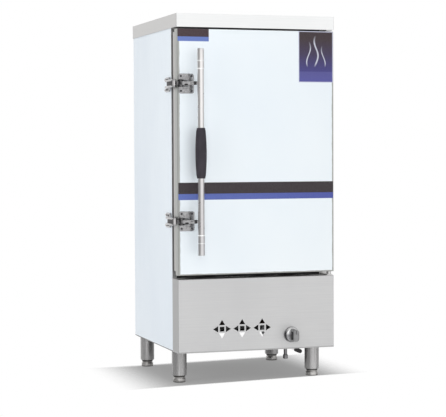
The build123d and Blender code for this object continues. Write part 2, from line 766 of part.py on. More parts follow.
def rack_posts():
    bottom = CHAMBER_BOTTOM
    top = FIRST_RAIL_Z + (TRAY_LEVELS - 1) * TRAY_PITCH + POST_OVER
    posts = []
    for side in (-1, 1):
        for y in (RAIL_FRONT + POST_INSET, (RAIL_FRONT + RAIL_BACK) / 2, RAIL_BACK - POST_INSET):
            x = side * (CHAMBER_X - POST_THICK)
            half = POST_WIDTH / 2
            posts.append(block(x, side * CHAMBER_X, y - half, y + half, bottom, top))
    return posts


def tray_rails(side):
    """Ledges for the trays, each with a flange hanging down against the posts."""
    wall = side * (CHAMBER_X - POST_THICK)
    rails = []
    for level in range(TRAY_LEVELS):
        z = FIRST_RAIL_Z + level * TRAY_PITCH
        ledge = block(wall, wall - side * RAIL_LEDGE, RAIL_FRONT, RAIL_BACK, z - RAIL_SHEET, z)
        drop = block(wall, wall - side * RAIL_SHEET, RAIL_FRONT, RAIL_BACK, z - RAIL_DROP, z)
        rails.append(ledge + drop)
    return rails


def steam_plate():
    """Folded plate with slots that spreads the steam from the tank."""
    front = TANK_FRONT - PLATE_OVERLAP
    back = TANK_BACK + PLATE_OVERLAP
    plate = block(-PLATE_X, PLATE_X, front, back, CHAMBER_BOTTOM, PLATE_TOP)
    x = PLATE_X - PLATE_SHEET
    plate -= block(-x, x, front - 1, back + 1, CHAMBER_BOTTOM - 1, PLATE_TOP - PLATE_SHEET)
    step_x = 2 * PLATE_X / SLOT_COLUMNS
    step_y = (back - front) / SLOT_ROWS
    for i in range(SLOT_COLUMNS):
        for j in range(SLOT_ROWS):
            middle = Pos(-PLATE_X + (i + 0.5) * step_x, front + (j + 0.5) * step_y)
            slot = middle * SlotOverall(SLOT_LENGTH, SLOT_WIDTH)
            plate -= slab_z(slot, PLATE_TOP - PLATE_SHEET - 1, PLATE_TOP + 1)
    return plate


# Water tank, flame skirt, flue and vent


def water_tank():
    top = LINER_BOTTOM
    x = TANK_X + TANK_FLANGE
    tank = block(-x, x, TANK_FRONT - TANK_FLANGE, TANK_BACK + TANK_FLANGE, top - TANK_SHEET, top)
    tank += block(-TANK_X, TANK_X, TANK_FRONT, TANK_BACK, TANK_BOTTOM, top)
    x = TANK_X - TANK_SHEET
    y0 = TANK_FRONT + TANK_SHEET
    tank -= block(-x, x, y0, TANK_BACK - TANK_SHEET, TANK_BOTTOM + TANK_SHEET, top + 1)
    tank -= rod_y(DRAIN_X, DRAIN_OUTLET_Z, TANK_FRONT - 1, y0 + 1, DRAIN_BORE)
    return tank - rod_x(LEVEL_PIPE_Y, LEVEL_PIPE_Z, -TANK_X - 1, 1 - x, LEVEL_PIPE_R - TANK_SHEET)


def flame_skirt():
    skirt = block(-SKIRT_X, SKIRT_X, SKIRT_FRONT, SKIRT_BACK, SKIRT_BOTTOM, TANK_BOTTOM)
    x = SKIRT_X - SHEET
    skirt -= block(-x, x, SKIRT_FRONT + SHEET, SKIRT_BACK - SHEET, SKIRT_BOTTOM - 1, TANK_BOTTOM + 1)
    x = DUCT_X - SHEET
    y0 = SKIRT_BACK - SHEET - 1
    return skirt - block(-x, x, y0, SKIRT_BACK + 1, DUCT_BOTTOM + SHEET, TANK_BOTTOM - 2 * SHEET)


def flue_duct():
    """Flat sheets welded into a duct: from the flame skirt to the back, then up behind the chamber."""
    x = DUCT_X
    inner = DUCT_X - SHEET
    floor = DUCT_BOTTOM + SHEET
    roof = TANK_BOTTOM - SHEET
    front = DUCT_FRONT + SHEET
    rear = DUCT_BACK - SHEET
    back = block(-x, x, rear, DUCT_BACK, floor, DUCT_TOP)
    back -= rod_y(0, COLLAR_Z, rear - 1, DUCT_BACK + 1, COLLAR_R - COLLAR_WALL)
    sheets = [
        block(-x, x, SKIRT_BACK, DUCT_BACK, DUCT_BOTTOM, floor),
        block(-x, x, SKIRT_BACK, front, roof - SHEET, roof),
        block(-x, x, DUCT_FRONT, front, roof, DUCT_TOP),
        block(-inner, inner, front, rear, DUCT_TOP - SHEET, DUCT_TOP),
        back,
    ]
    for side in (-1, 1):
        sheets.append(block(side * inner, side * x, SKIRT_BACK, front, floor, roof - SHEET))
        sheets.append(block(side * inner, side * x, front, rear, floor, DUCT_TOP))
    return sheets


def flue_collar():
    tube = rod_y(0, COLLAR_Z, DUCT_BACK, CONNECT_Y, COLLAR_R)
    rim = rod_y(0, COLLAR_Z, BODY_BACK, BODY_BACK + COLLAR_WALL, COLLAR_RIM_R)
    return tube + rim - rod_y(0, COLLAR_Z, DUCT_BACK - 1, CONNECT_Y + 1, COLLAR_R - COLLAR_WALL)


# Burner and gas line


def burner_places():
    first = -(BURNER_COUNT - 1) / 2 * BURNER_PITCH
    return [first + i * BURNER_PITCH for i in range(BURNER_COUNT)]


def burner_bar(x):
    """Cast bar with a raised rib, cut by flame ports."""
    half = BURNER_WIDTH / 2
    bar = block(x - half, x + half, BURNER_FRONT, BURNER_BACK, BURNER_BOTTOM, BURNER_TOP)
    bar = fillet(bar.edges().filter_by(Axis.Y).group_by(Axis.Z)[-1], half / 2)
    rib = half / 2.5
    wall = BURNER_WALL
    z0 = BURNER_TOP - BURNER_RIB
    z1 = BURNER_TOP + BURNER_RIB
    bar += block(x - rib, x + rib, BURNER_FRONT, BURNER_BACK, z0, z1)
    inner = half - wall
    y0 = BURNER_FRONT + wall
    bar -= block(x - inner, x + inner, y0, BURNER_BACK - wall, BURNER_BOTTOM + wall, BURNER_TOP - wall)
    bar -= rod_y(x, BURNER_Z, BURNER_FRONT - 1, y0 + 1, FEED_HOLE_R)
    length = BURNER_BACK - BURNER_FRONT
    ports = int(length / PORT_PITCH)
    for i in range(ports):
        y = BURNER_FRONT + (i + 0.5) * length / ports
        y0 = y - PORT_WIDTH / 2
        y1 = y + PORT_WIDTH / 2
        bar -= block(x - half, x + half, y0, y1, BURNER_TOP, z1 + 1)
        bar -= block(x - rib / 2, x + rib / 2, y0, y1, BURNER_TOP - wall - 1, BURNER_TOP + 1)
    return bar


def burner_manifold():
    """Square gas chest in front of the bars, fed by a venturi tube."""
    wall = MANIFOLD_WALL
    x = MANIFOLD_X
    chest = block(-x, x, MANIFOLD_FRONT, BURNER_FRONT, BURNER_BOTTOM, BURNER_TOP)
    x -= wall
    y0 = MANIFOLD_FRONT + wall
    chest -= block(-x, x, y0, BURNER_FRONT - wall, BURNER_BOTTOM + wall, BURNER_TOP - wall)
    throat = VENTURI_MOUTH + VENTURI_BELL
    middle = Pos(VENTURI_X, (VENTURI_MOUTH + throat) / 2, BURNER_Z) * Rot(90, 0, 0)
    bell = middle * Cone(VENTURI_R, VENTURI_MOUTH_R, VENTURI_BELL)
    bell -= middle * Cone(VENTURI_R - wall, VENTURI_MOUTH_R - wall, VENTURI_BELL)
    chest += rod_y(VENTURI_X, BURNER_Z, throat, MANIFOLD_FRONT, VENTURI_R)
    chest -= rod_y(VENTURI_X, BURNER_Z, throat - 1, y0 + 1, VENTURI_R - wall)
    for place in burner_places():
        chest -= rod_y(place, BURNER_Z, BURNER_FRONT - wall - 1, BURNER_FRONT + 1, FEED_HOLE_R)
    return chest + bell


def gas_inlet_pipe():
    right_port = KNOB_X + VALVE_HALF
    end = CONNECT_Y - THREAD_LENGTH
    points = ((GAS_PIPE_X, end, KNOB_Z), (GAS_PIPE_X, VALVE_Y, KNOB_Z), (right_port, VALVE_Y, KNOB_Z))
    run = pipe(points, PIPE_BEND, PIPE_R, PIPE_BORE)
    return run + straight_pipe_y(GAS_PIPE_X, KNOB_Z, end, CONNECT_Y, THREAD_R, PIPE_BORE)


def valve_outlet_pipe():
    left_port = KNOB_X - VALVE_HALF
    end = VENTURI_MOUTH + FEED_ENTRY
    points = (
        (left_port, VALVE_Y, KNOB_Z),
        (VENTURI_X, VALVE_Y, KNOB_Z),
        (VENTURI_X, VALVE_Y, BURNER_Z),
        (VENTURI_X, end, BURNER_Z),
    )
    return pipe(points, FEED_BEND, FEED_R, FEED_BORE)


def gas_valve_body():
    """Brass cock behind the panel, held by its nose against the panel."""
    x = KNOB_X
    z = KNOB_Z
    body = rod_y(x, z, VALVE_Y - VALVE_FRONT, VALVE_Y + VALVE_REAR, VALVE_R)
    body += rod_x(VALVE_Y, z, x - VALVE_HALF, x + VALVE_HALF, VALVE_PORT_R)
    body += rod_y(x, z, SHEET, VALVE_Y, VALVE_NOSE_R)
    body += rod_z(x - PILOT_OFFSET, VALVE_Y + PILOT_OFFSET, z, z + VALVE_R + PILOT_SEAT, PILOT_NUT_R)
    body -= rod_y(x, z, SHEET - 1, VALVE_Y - VALVE_SEAT, PUSH_RING_R + RUNNING)
    body -= rod_x(VALVE_Y, z, x + VALVE_HALF - PORT_DEPTH, x + VALVE_HALF + 1, PIPE_BORE)
    return body - rod_x(VALVE_Y, z, x - VALVE_HALF - 1, x - VALVE_HALF + PORT_DEPTH, FEED_BORE)


def pilot_burner():
    """Thin pilot tube from the valve to a small head with its electrode at the bars."""
    x = KNOB_X - PILOT_OFFSET
    y = VALVE_Y + PILOT_OFFSET
    level = (BURNER_TOP + BURNER_RIB + SKIRT_BOTTOM) / 2
    head_y = BURNER_FRONT + PILOT_REACH
    points = ((x, y, KNOB_Z + VALVE_R + PILOT_SEAT), (x, y, level), (x, head_y, level))
    tube = pipe(points, PILOT_BEND, PILOT_R, PILOT_BORE)
    x0 = x - PILOT_HEAD_HALF
    x1 = x + PILOT_HEAD_HALF
    head = block(x0, x1, head_y, head_y + PILOT_HEAD, level - PILOT_HEAD_LOW, level + PILOT_HEAD_HIGH)
    y = head_y + PILOT_HEAD_LOW
    electrode = rod_z(x - ELECTRODE_OFFSET, y, level, level + ELECTRODE_RISE, ELECTRODE_R)
    probe = rod_z(x + ELECTRODE_OFFSET, y, level, level + PROBE_RISE, PROBE_R)
    return tube + head + electrode + probe


def push_collar():
    """Ring on the stem that the knob pushes in, against the valve's spring."""
    front = SHEET + PUSH_RING_SETBACK
    ring = rod_y(KNOB_X, KNOB_Z, front, front + PUSH_RING, PUSH_RING_R)
    return ring - rod_y(KNOB_X, KNOB_Z, front - 1, front + PUSH_RING + 1, STEM_R + RUNNING)


def gas_knob():
    """Round skirt with a tall bar grip, and the stem that goes into the valve."""
    back = -BEZEL_THICK - PUSH_TRAVEL - KNOB_GAP
    front = back - KNOB_SKIRT
    middle = Pos(KNOB_X, (back + front) / 2, KNOB_Z) * Rot(90, 0, 0)
    skirt = middle * Cone(KNOB_SKIRT_R, KNOB_SKIRT_R - KNOB_SKIRT_TAPER, KNOB_SKIRT)
    wide = KNOB_GRIP_WIDTH
    tall = KNOB_GRIP_HEIGHT
    root = RectangleRounded(wide, tall, wide * 0.45)
    tip = RectangleRounded(wide - KNOB_GRIP_TAPER, tall - KNOB_GRIP_TAPER, wide * 0.4)
    place = Pos(KNOB_X, KNOB_Z)
    grip = loft([Plane.XZ.offset(-front) * place * root, Plane.XZ.offset(KNOB_REACH) * place * tip])
    return skirt + grip + rod_y(KNOB_X, KNOB_Z, front, VALVE_Y - STEM_END_GAP, STEM_R)


def knob_bezel():
    plate = rod_y(KNOB_X, KNOB_Z, -BEZEL_THICK, 0, BEZEL_R)
    plate = chamfer(plate.edges().group_by(Axis.Y)[0], BEZEL_THICK / 2)
    return plate - rod_y(KNOB_X, KNOB_Z, -BEZEL_THICK - 1, 1, PUSH_RING_R)


# Level box, float and water inlet


def level_box():
    x0 = BOX_OUT_X
    x1 = BOX_IN_X
    t = TANK_SHEET
    box = block(x0, x1, BOX_FRONT, BOX_BACK, BOX_BOTTOM, BOX_TOP)
    box -= block(x0 + t, x1 - t, BOX_FRONT + t, BOX_BACK - t, BOX_BOTTOM + t, BOX_TOP + 1)
    for y in (BOX_FRONT + BOX_TAB, BOX_BACK - 2 * BOX_TAB):
        box += block(-WEB_X, x0, y, y + BOX_TAB, BOX_TOP - BOX_TAB_HEIGHT, BOX_TOP)
    box += rod_x(LEVEL_PIPE_Y, LEVEL_PIPE_Z, x1 - t, -TANK_X, LEVEL_PIPE_R)
    box -= rod_x(LEVEL_PIPE_Y, LEVEL_PIPE_Z, x1 - t - 1, 1 - TANK_X, LEVEL_PIPE_R - t)
    return box - rod_y(FLOAT_X, WATER_Z, BOX_BACK - t - 1, BOX_BACK + 1, PIPE_BORE)


def float_valve():
    """Brass inlet valve inside the box, with a fork and pin for the float arm."""
    z = WATER_Z
    inside = BOX_BACK - TANK_SHEET
    near = FLOAT_HUB_HALF + FORK_GAP
    far = near + FORK_THICK
    body = rod_y(FLOAT_X, z, inside - FLOAT_VALVE_LENGTH, inside, FLOAT_VALVE_R)
    body += rod_y(FLOAT_X, z, inside, BOX_BACK, PIPE_BORE)
    cheek = link(inside - FORK_ROOT, z, FORK_ROOT_R, FLOAT_PIVOT_Y, z, FORK_R)
    body += slab_x(cheek, FLOAT_X - far, FLOAT_X - near) + slab_x(cheek, FLOAT_X + near, FLOAT_X + far)
    body += rod_x(FLOAT_PIVOT_Y, z, FLOAT_X - far, FLOAT_X + far, FLOAT_PIN_R)
    blind = inside - FLOAT_VALVE_LENGTH + FLOAT_VALVE_WALL
    return body - rod_y(FLOAT_X, z, blind, BOX_BACK + 1, FLOAT_VALVE_BORE)


def float_arm():
    """Copper ball on a rod that hangs from the inlet valve's pin."""
    drop = math.radians(FLOAT_DROP_DEG)
    ball_y = FLOAT_PIVOT_Y - FLOAT_ARM * math.cos(drop)
    ball_z = WATER_Z - FLOAT_ARM * math.sin(drop)
    x0 = FLOAT_X - FLOAT_HUB_HALF
    x1 = FLOAT_X + FLOAT_HUB_HALF
    hub = rod_x(FLOAT_PIVOT_Y, WATER_Z, x0, x1, FLOAT_HUB_R)
    middle = Pos(FLOAT_X, (FLOAT_PIVOT_Y + ball_y) / 2, (WATER_Z + ball_z) / 2)
    rod = middle * Rot(90 + FLOAT_DROP_DEG, 0, 0) * Cylinder(FLOAT_ROD_R, FLOAT_ARM)
    arm = hub + rod + Pos(FLOAT_X, ball_y, ball_z) * Sphere(FLOAT_R)
    return arm - rod_x(FLOAT_PIVOT_Y, WATER_Z, x0 - 1, x1 + 1, FLOAT_PIN_R + RUNNING)


def water_inlet_pipe():
    end = CONNECT_Y - THREAD_LENGTH
    run = straight_pipe_y(FLOAT_X, WATER_Z, BOX_BACK, end, PIPE_R, PIPE_BORE)
    return run + straight_pipe_y(FLOAT_X, WATER_Z, end, CONNECT_Y, THREAD_R, PIPE_BORE)


# Drain


def drain_pipe():
    top = DRAIN_VALVE_Z + DRAIN_VALVE_HEIGHT / 2
    points = (
        (DRAIN_X, TANK_FRONT, DRAIN_OUTLET_Z),
        (DRAIN_X, DRAIN_Y, DRAIN_OUTLET_Z),
        (DRAIN_X, DRAIN_Y, top),
    )
    return pipe(points, DRAIN_BEND, DRAIN_PIPE_R, DRAIN_BORE)


def drain_valve_body():
    """Drain cock with its spout, wider at the lower end."""
    half = DRAIN_VALVE_HEIGHT / 2
    z = DRAIN_VALVE_Z
    body = rod_z(DRAIN_X, DRAIN_Y, z - half, z + half, DRAIN_VALVE_R)
    body += rod_y(DRAIN_X, z, DRAIN_BOSS_Y, DRAIN_Y, DRAIN_BOSS_R)
    end = NOZZLE_BOTTOM + NOZZLE_END
    body += rod_z(DRAIN_X, DRAIN_Y, end, z, DRAIN_PIPE_R)
    spout = rod_z(DRAIN_X, DRAIN_Y, NOZZLE_BOTTOM, end, NOZZLE_R)
    body += chamfer(spout.edges().group_by(Axis.Z)[0], NOZZLE_CHAMFER)
    body -= rod_z(DRAIN_X, DRAIN_Y, NOZZLE_BOTTOM - 1, z + half + 1, DRAIN_BORE)
    return body - rod_y(DRAIN_X, z, DRAIN_BOSS_Y - 1, DRAIN_Y - DRAIN_STEM_SEAT, STEM_R + RUNNING)


def lever_line(reach):
    droop = math.radians(LEVER_DROOP_DEG)
    return DRAIN_X + reach * math.cos(droop), DRAIN_VALVE_Z - reach * math.sin(droop)


def lever_bar():
    front = DRAIN_BOSS_Y - LEVER_GAP
    bar = link(DRAIN_X, DRAIN_VALVE_Z, LEVER_HUB_R, *lever_line(LEVER_REACH), LEVER_TIP_R)
    return slab_y(bar, front - LEVER_THICK, front)


def drain_lever():
    end = DRAIN_Y - DRAIN_STEM_SEAT - 1
    return lever_bar() + rod_y(DRAIN_X, DRAIN_VALVE_Z, DRAIN_BOSS_Y - LEVER_GAP, end, STEM_R)


def drain_lever_sleeve():
    """Soft plastic sleeve on the lever's outer half."""
    front = DRAIN_BOSS_Y - LEVER_GAP
    near = lever_line(GRIP_SLEEVE_START)
    outer = link(*near, GRIP_SLEEVE_NEAR_R, *lever_line(LEVER_REACH), GRIP_SLEEVE_FAR_R)
    sleeve = slab_y(outer, front - LEVER_THICK - GRIP_SLEEVE_WALL, front + GRIP_SLEEVE_WALL)
    return sleeve - lever_bar()


# Lower front panel


def star_cut(x):
    """Four triangles about a square hole, parted from it by a square ring."""
    middle = Pos(x, BODY_BOTTOM + STAR_RISE)
    near = STAR_SQUARE + STAR_RING
    triangle = outline((-STAR_BASE, near), (STAR_BASE, near), (0, STAR_HALF))
    cuts = [slab_y(middle * Rectangle(2 * STAR_SQUARE, 2 * STAR_SQUARE), -1, SHEET + 1)]
    for turn in (0, 90, 180, 270):
        cuts.append(slab_y(middle * Rot(0, 0, turn) * triangle, -1, SHEET + 1))
    return cuts


def lower_front_panel():
    outer = block(-BODY_X, BODY_X, 0, FRAME_BACK, BODY_BOTTOM, LOWER_TOP)
    rounded = outer.edges().filter_by(Axis.Z).group_by(Axis.Y)[0]
    rounded += outer.edges().filter_by(Axis.X).group_by(Axis.Y)[0]
    outer = fillet(rounded, BEND_R)
    x = BODY_X - SHEET
    panel = outer - block(-x, x, SHEET, FRAME_BACK + 1, BODY_BOTTOM + SHEET, LOWER_TOP - SHEET)
    panel -= block(-x, x, LOWER_RETURN, FRAME_BACK + 1, BODY_BOTTOM - 1, BODY_BOTTOM + 2 * SHEET)
    for i in range(STAR_COUNT):
        for cut in star_cut(STAR_INSET - BODY_X + i * STAR_PITCH):
            panel -= cut
    return panel - rod_y(KNOB_X, KNOB_Z, -1, SHEET + 1, PUSH_RING_R)


# Door


def latch_screw_places():
    left = LATCH_PLATE_X + LATCH_SCREW_INSET
    right = LATCH_PLATE_X + LATCH_PLATE_WIDTH - LATCH_SCREW_INSET
    half = LATCH_PLATE_HEIGHT / 2 - LATCH_SCREW_INSET
    return [(x, z + side * half) for z in LATCH_PLACES for x in (left, right) for side in (-1, 1)]


def latch_screws():
    screws = []
    for x, z in latch_screw_places():
        head = rod_y(x, z, -LATCH_PLATE_THICK - SCREW_HEAD, -LATCH_PLATE_THICK, SCREW_HEAD_R)
        shank = rod_y(x, z, -LATCH_PLATE_THICK, -LATCH_PLATE_THICK + SCREW_LENGTH, SCREW_R)
        screws.append(head + shank)
    return screws


def drill(solid, places, y0, y1, r):
    for x, z in places:
        solid -= rod_y(x, z, y0, y1, r)
    return solid


def bush_places():
    return ((DOOR_BOTTOM, DOOR_BOTTOM + BUSH_DEPTH), (DOOR_TOP - BUSH_DEPTH, DOOR_TOP))


def door_skin():
    outer = block(-BODY_X, BODY_X, 0, SKIN_RETURN, DOOR_BOTTOM, DOOR_TOP)
    rounded = outer.edges().filter_by(Axis.Z).group_by(Axis.Y)[0]
    rounded += outer.edges().filter_by(Axis.X).group_by(Axis.Y)[0]
    outer = fillet(rounded, BEND_R)
    x = BODY_X - SHEET
    skin = outer - block(-x, x, SHEET, SKIN_RETURN + 1, DOOR_BOTTOM + SHEET, DOOR_TOP - SHEET)
    for z0, z1 in bush_places():
        skin -= rod_z(HINGE_X, HINGE_Y, z0 - 1, z1 + 1, BUSH_R)
    return drill(skin, latch_screw_places(), -1, SHEET + 1, SCREW_R + HOLE_CLEARANCE)


def inner_pan_box(margin, front):
    """The inner pan's outside, made smaller all round by a margin, from a given depth back."""
    x = BODY_X - SHEET - margin
    z0 = DOOR_BOTTOM + INNER_INSET_BOTTOM + margin
    z1 = DOOR_TOP - INNER_INSET_TOP - margin
    return block(-x, x, front, DOOR_THICK - margin, z0, z1)


def door_inner_pan():
    """Back pan of the door: its rim sits inside the skin's edge and shows behind it."""
    y0 = SKIN_RETURN - PAN_RIM
    pan = inner_pan_box(0, y0) - inner_pan_box(SHEET, y0 - 1)
    x = BODY_X - SHEET
    lip = block(-x, x, y0, SKIN_RETURN, DOOR_BOTTOM + SHEET, DOOR_TOP - SHEET)
    lip -= block(
        SHEET - x,
        x - SHEET,
        y0 - 1,
        SKIN_RETURN + 1,
        DOOR_BOTTOM + INNER_INSET_BOTTOM + SHEET,
        DOOR_TOP - INNER_INSET_TOP - SHEET,
    )
    return pan + lip


def door_insulation():
    s = CORE_SLACK
    x = BODY_X - SHEET - s
    back = SKIN_RETURN - PAN_RIM - s
    core = block(-x, x, SHEET + s, back, DOOR_BOTTOM + SHEET + s, DOOR_TOP - SHEET - s)
    core += inner_pan_box(SHEET + s, back)
    for z0, z1 in bush_places():
        core -= rod_z(HINGE_X, HINGE_Y, z0 - 2, z1 + 2, BUSH_R + s)
    y1 = SCREW_LENGTH - LATCH_PLATE_THICK + s
    return drill(core, latch_screw_places(), 0, y1, SCREW_R + s)


def door_gasket():
    """Silicone frame round the door's back that presses on the body's face."""
    x = GASKET_X
    w = GASKET_WIDTH
    ring = block(-x, x, DOOR_THICK, GASKET_BACK, GASKET_BOTTOM, GASKET_TOP)
    ring -= block(w - x, x - w, DOOR_THICK - 1, GASKET_BACK + 1, GASKET_BOTTOM + w, GASKET_TOP - w)
    y0 = (DOOR_THICK + GASKET_BACK - GASKET_GROOVE) / 2
    y1 = y0 + GASKET_GROOVE
    d = GASKET_GROOVE_DEPTH
    groove = block(-x - 1, x + 1, y0, y1, GASKET_BOTTOM - 1, GASKET_TOP + 1)
    groove -= block(d - x, x - d, y0 - 1, y1 + 1, GASKET_BOTTOM + d, GASKET_TOP - d)
    return ring - groove


def door_stickers():
    """Printed strip across the door, a small label at the left and a leaflet at the right."""
    edge = BODY_X - BEND_R
    band = block(-edge, edge, -STICKER, 0, BAND_BOTTOM, BAND_BOTTOM + BAND_HEIGHT)
    top = DOOR_TOP - BEND_R
    label = block(-edge, LABEL_WIDTH - edge, -STICKER, 0, top - LABEL_HEIGHT, top)
    right = BODY_X - LEAFLET_INSET
    leaflet = block(right - LEAFLET_WIDTH, right, -STICKER, 0, top - LEAFLET_HEIGHT, top)
    return [band, label, leaflet]


# Hinge


def hinge_brackets():
    """Lower bracket in the gap under the door, upper one under the cap's closure plate."""
    x0 = BODY_X - BRACKET_WIDTH
    front = HINGE_Y - BUSH_COLLAR_R - BRACKET_MARGIN
    low = block(x0, BODY_X, front, FACE_Y, LOWER_TOP, LOWER_TOP + BRACKET_THICK)
    low += block(x0, BODY_X, FACE_Y - BRACKET_THICK, FACE_Y, LOWER_TOP, DOOR_BOTTOM - BRACKET_MARGIN)
    low -= rod_z(HINGE_X, HINGE_Y, LOWER_TOP - 1, LOWER_TOP + BRACKET_THICK + 1, HINGE_PIN_R)
    z0 = CAP_BOTTOM - BRACKET_THICK
    high = block(x0, BODY_X, front, FACE_Y, z0, CAP_BOTTOM)
    high -= rod_z(HINGE_X, HINGE_Y, z0 - 1, CAP_BOTTOM + 1, HINGE_PIN_R)
    return [low, high]


def hinge_pins():
    low = rod_z(HINGE_X, HINGE_Y, LOWER_TOP, DOOR_BOTTOM + BUSH_DEPTH - PIN_END_GAP, HINGE_PIN_R)
    high = rod_z(HINGE_X, HINGE_Y, DOOR_TOP - BUSH_DEPTH + PIN_END_GAP, CAP_BOTTOM, HINGE_PIN_R)
    return [low, high]


def hinge_bushes():
    """Bushes pressed into the door; the lower one's collar carries the door."""
    bushes = []
    for z0, z1 in bush_places():
        bushes.append(rod_z(HINGE_X, HINGE_Y, z0, z1, BUSH_R))
    rest = LOWER_TOP + BRACKET_THICK + RUNNING
    bushes[0] += rod_z(HINGE_X, HINGE_Y, rest, DOOR_BOTTOM, BUSH_COLLAR_R)
    bore = HINGE_PIN_R + RUNNING
    return [bush - rod_z(HINGE_X, HINGE_Y, LOWER_TOP, CAP_BOTTOM, bore) for bush in bushes]


# Latch and handle


def latch_base(z):
    """Cast plate with two cheeks that hold the pivot pin."""
    x0 = LATCH_PLATE_X
    y0 = -LATCH_PLATE_THICK
    face = RectangleRounded(LATCH_PLATE_WIDTH, LATCH_PLATE_HEIGHT, LATCH_CORNER_R)
    base = slab_y(Pos(x0 + LATCH_PLATE_WIDTH / 2, z) * face, y0, 0)
    toe_x = x0 + CHEEK_TOE
    cheek = link(PIVOT_X, PIVOT_Y, HUB_R, toe_x, y0 - CHEEK_TOE_R, CHEEK_TOE_R)
    cheek += outline((x0, y0), (x0 + CHEEK_FOOT, y0), (toe_x, -CHEEK_TOE_Y), (PIVOT_X, PIVOT_Y))
    for side in (-1, 1):
        near = z + side * CHEEK_INSIDE
        far = z + side * CHEEK_OUTSIDE
        base += slab_z(cheek, min(near, far), max(near, far))
    base -= rod_z(PIVOT_X, PIVOT_Y, z - CHEEK_OUTSIDE - 1, z + CHEEK_OUTSIDE + 1, PIVOT_R)
    here = [place for place in latch_screw_places() if abs(place[1] - z) < LATCH_PLATE_HEIGHT]
    return drill(base, here, -LATCH_PLATE_THICK - 1, 1, SCREW_R + HOLE_CLEARANCE)


def latch_pivot_pins():
    reach = CHEEK_OUTSIDE + PIVOT_OVER
    return [rod_z(PIVOT_X, PIVOT_Y, z - reach, z + reach, PIVOT_R) for z in LATCH_PLACES]


def along_arm(reach):
    turn = math.radians(ARM_DEG)
    return PIVOT_X + reach * math.cos(turn), PIVOT_Y + reach * math.sin(turn)


def arm_rod(z, near, far, r):
    """A round bar along the lever's arm, between two distances from the pivot."""
    x, y = along_arm((near + far) / 2)
    return Pos(x, y, z) * Rot(0, 0, ARM_DEG) * Rot(0, 90, 0) * Cylinder(r, far - near)


def latch_lever(z):
    """Hub on the pivot pin, nose towards the keeper, arm towards the handle."""
    end_x, end_y = along_arm(ARM_LENGTH - ARM_END_R)
    nose = link(PIVOT_X, PIVOT_Y, HUB_R, NOSE_X, NOSE_Y, NOSE_R)
    arm = link(PIVOT_X, PIVOT_Y, HUB_R, end_x, end_y, ARM_END_R)
    half = LEVER_HEIGHT / 2
    lever = slab_z(nose, z - half, z + half) + slab_z(arm, z - half, z + half)
    lever += arm_rod(z, ARM_LENGTH - ARM_SOCKET, ARM_LENGTH, half)
    return lever - rod_z(PIVOT_X, PIVOT_Y, z - half - 1, z + half + 1, PIVOT_R + RUNNING)


def neck_nut(z):
    nut = arm_rod(z, ARM_LENGTH, ARM_REACH, NECK_R)
    return nut - rod_z(TUBE_X, TUBE_Y, z - 2 * NECK_R, z + 2 * NECK_R, TUBE_R)


def handle_tube():
    tube = rod_z(TUBE_X, TUBE_Y, TUBE_BOTTOM + SHEET, TUBE_TOP - SHEET, TUBE_R)
    return tube - rod_z(TUBE_X, TUBE_Y, TUBE_BOTTOM, TUBE_TOP, TUBE_R - TUBE_WALL)


def handle_sleeve(end, inward):
    """Closed sleeve on a tube end, with a groove part of the way along."""
    far = end + inward * SLEEVE_LENGTH
    sleeve = rod_z(TUBE_X, TUBE_Y, min(end, far), max(end, far), SLEEVE_R)
    sleeve = fillet(sleeve.edges().sort_by(Axis.Z)[0 if inward > 0 else -1], SLEEVE_EDGE)
    start = end + inward * SHEET
    sleeve -= rod_z(TUBE_X, TUBE_Y, min(start, far + inward), max(start, far + inward), TUBE_R)
    groove = end + inward * SLEEVE_GROOVE
    half = GROOVE_WIDTH / 2
    ring = rod_z(TUBE_X, TUBE_Y, groove - half, groove + half, SLEEVE_R + 1)
    ring -= rod_z(TUBE_X, TUBE_Y, groove - GROOVE_WIDTH, groove + GROOVE_WIDTH, SLEEVE_R - GROOVE_DEPTH)
    return sleeve - ring


def handle_grip():
    """Rubber grip, thickest in the middle and drawn in at both ends."""
    low = GRIP_BOTTOM + GRIP_END
    high = GRIP_TOP - GRIP_END
    side = ThreePointArc((GRIP_END_R, low), (GRIP_MIDDLE_R, GRIP_MIDDLE), (GRIP_END_R, high))
    lip = TUBE_R + GRIP_LIP
    rest = Polyline(
        (GRIP_END_R, high),
        (lip, GRIP_TOP),
        (TUBE_R, GRIP_TOP),
        (TUBE_R, GRIP_BOTTOM),
        (lip, GRIP_BOTTOM),
        (GRIP_END_R, low),
    )
    return Pos(TUBE_X, TUBE_Y, 0) * revolve(Plane.XZ * make_face(side + rest), Axis.Z)


# Latch keeper


def keeper_screw_places():
    up = KEEPER_HALF - KEEPER_SCREW_INSET
    heights = [z + side * up for z in LATCH_PLACES for side in (-1, 1)]
    first = KEEPER_FRONT + KEEPER_NOTCH
    return [(y, z) for y in (first, first + KEEPER_SCREW_STEP) for z in heights]


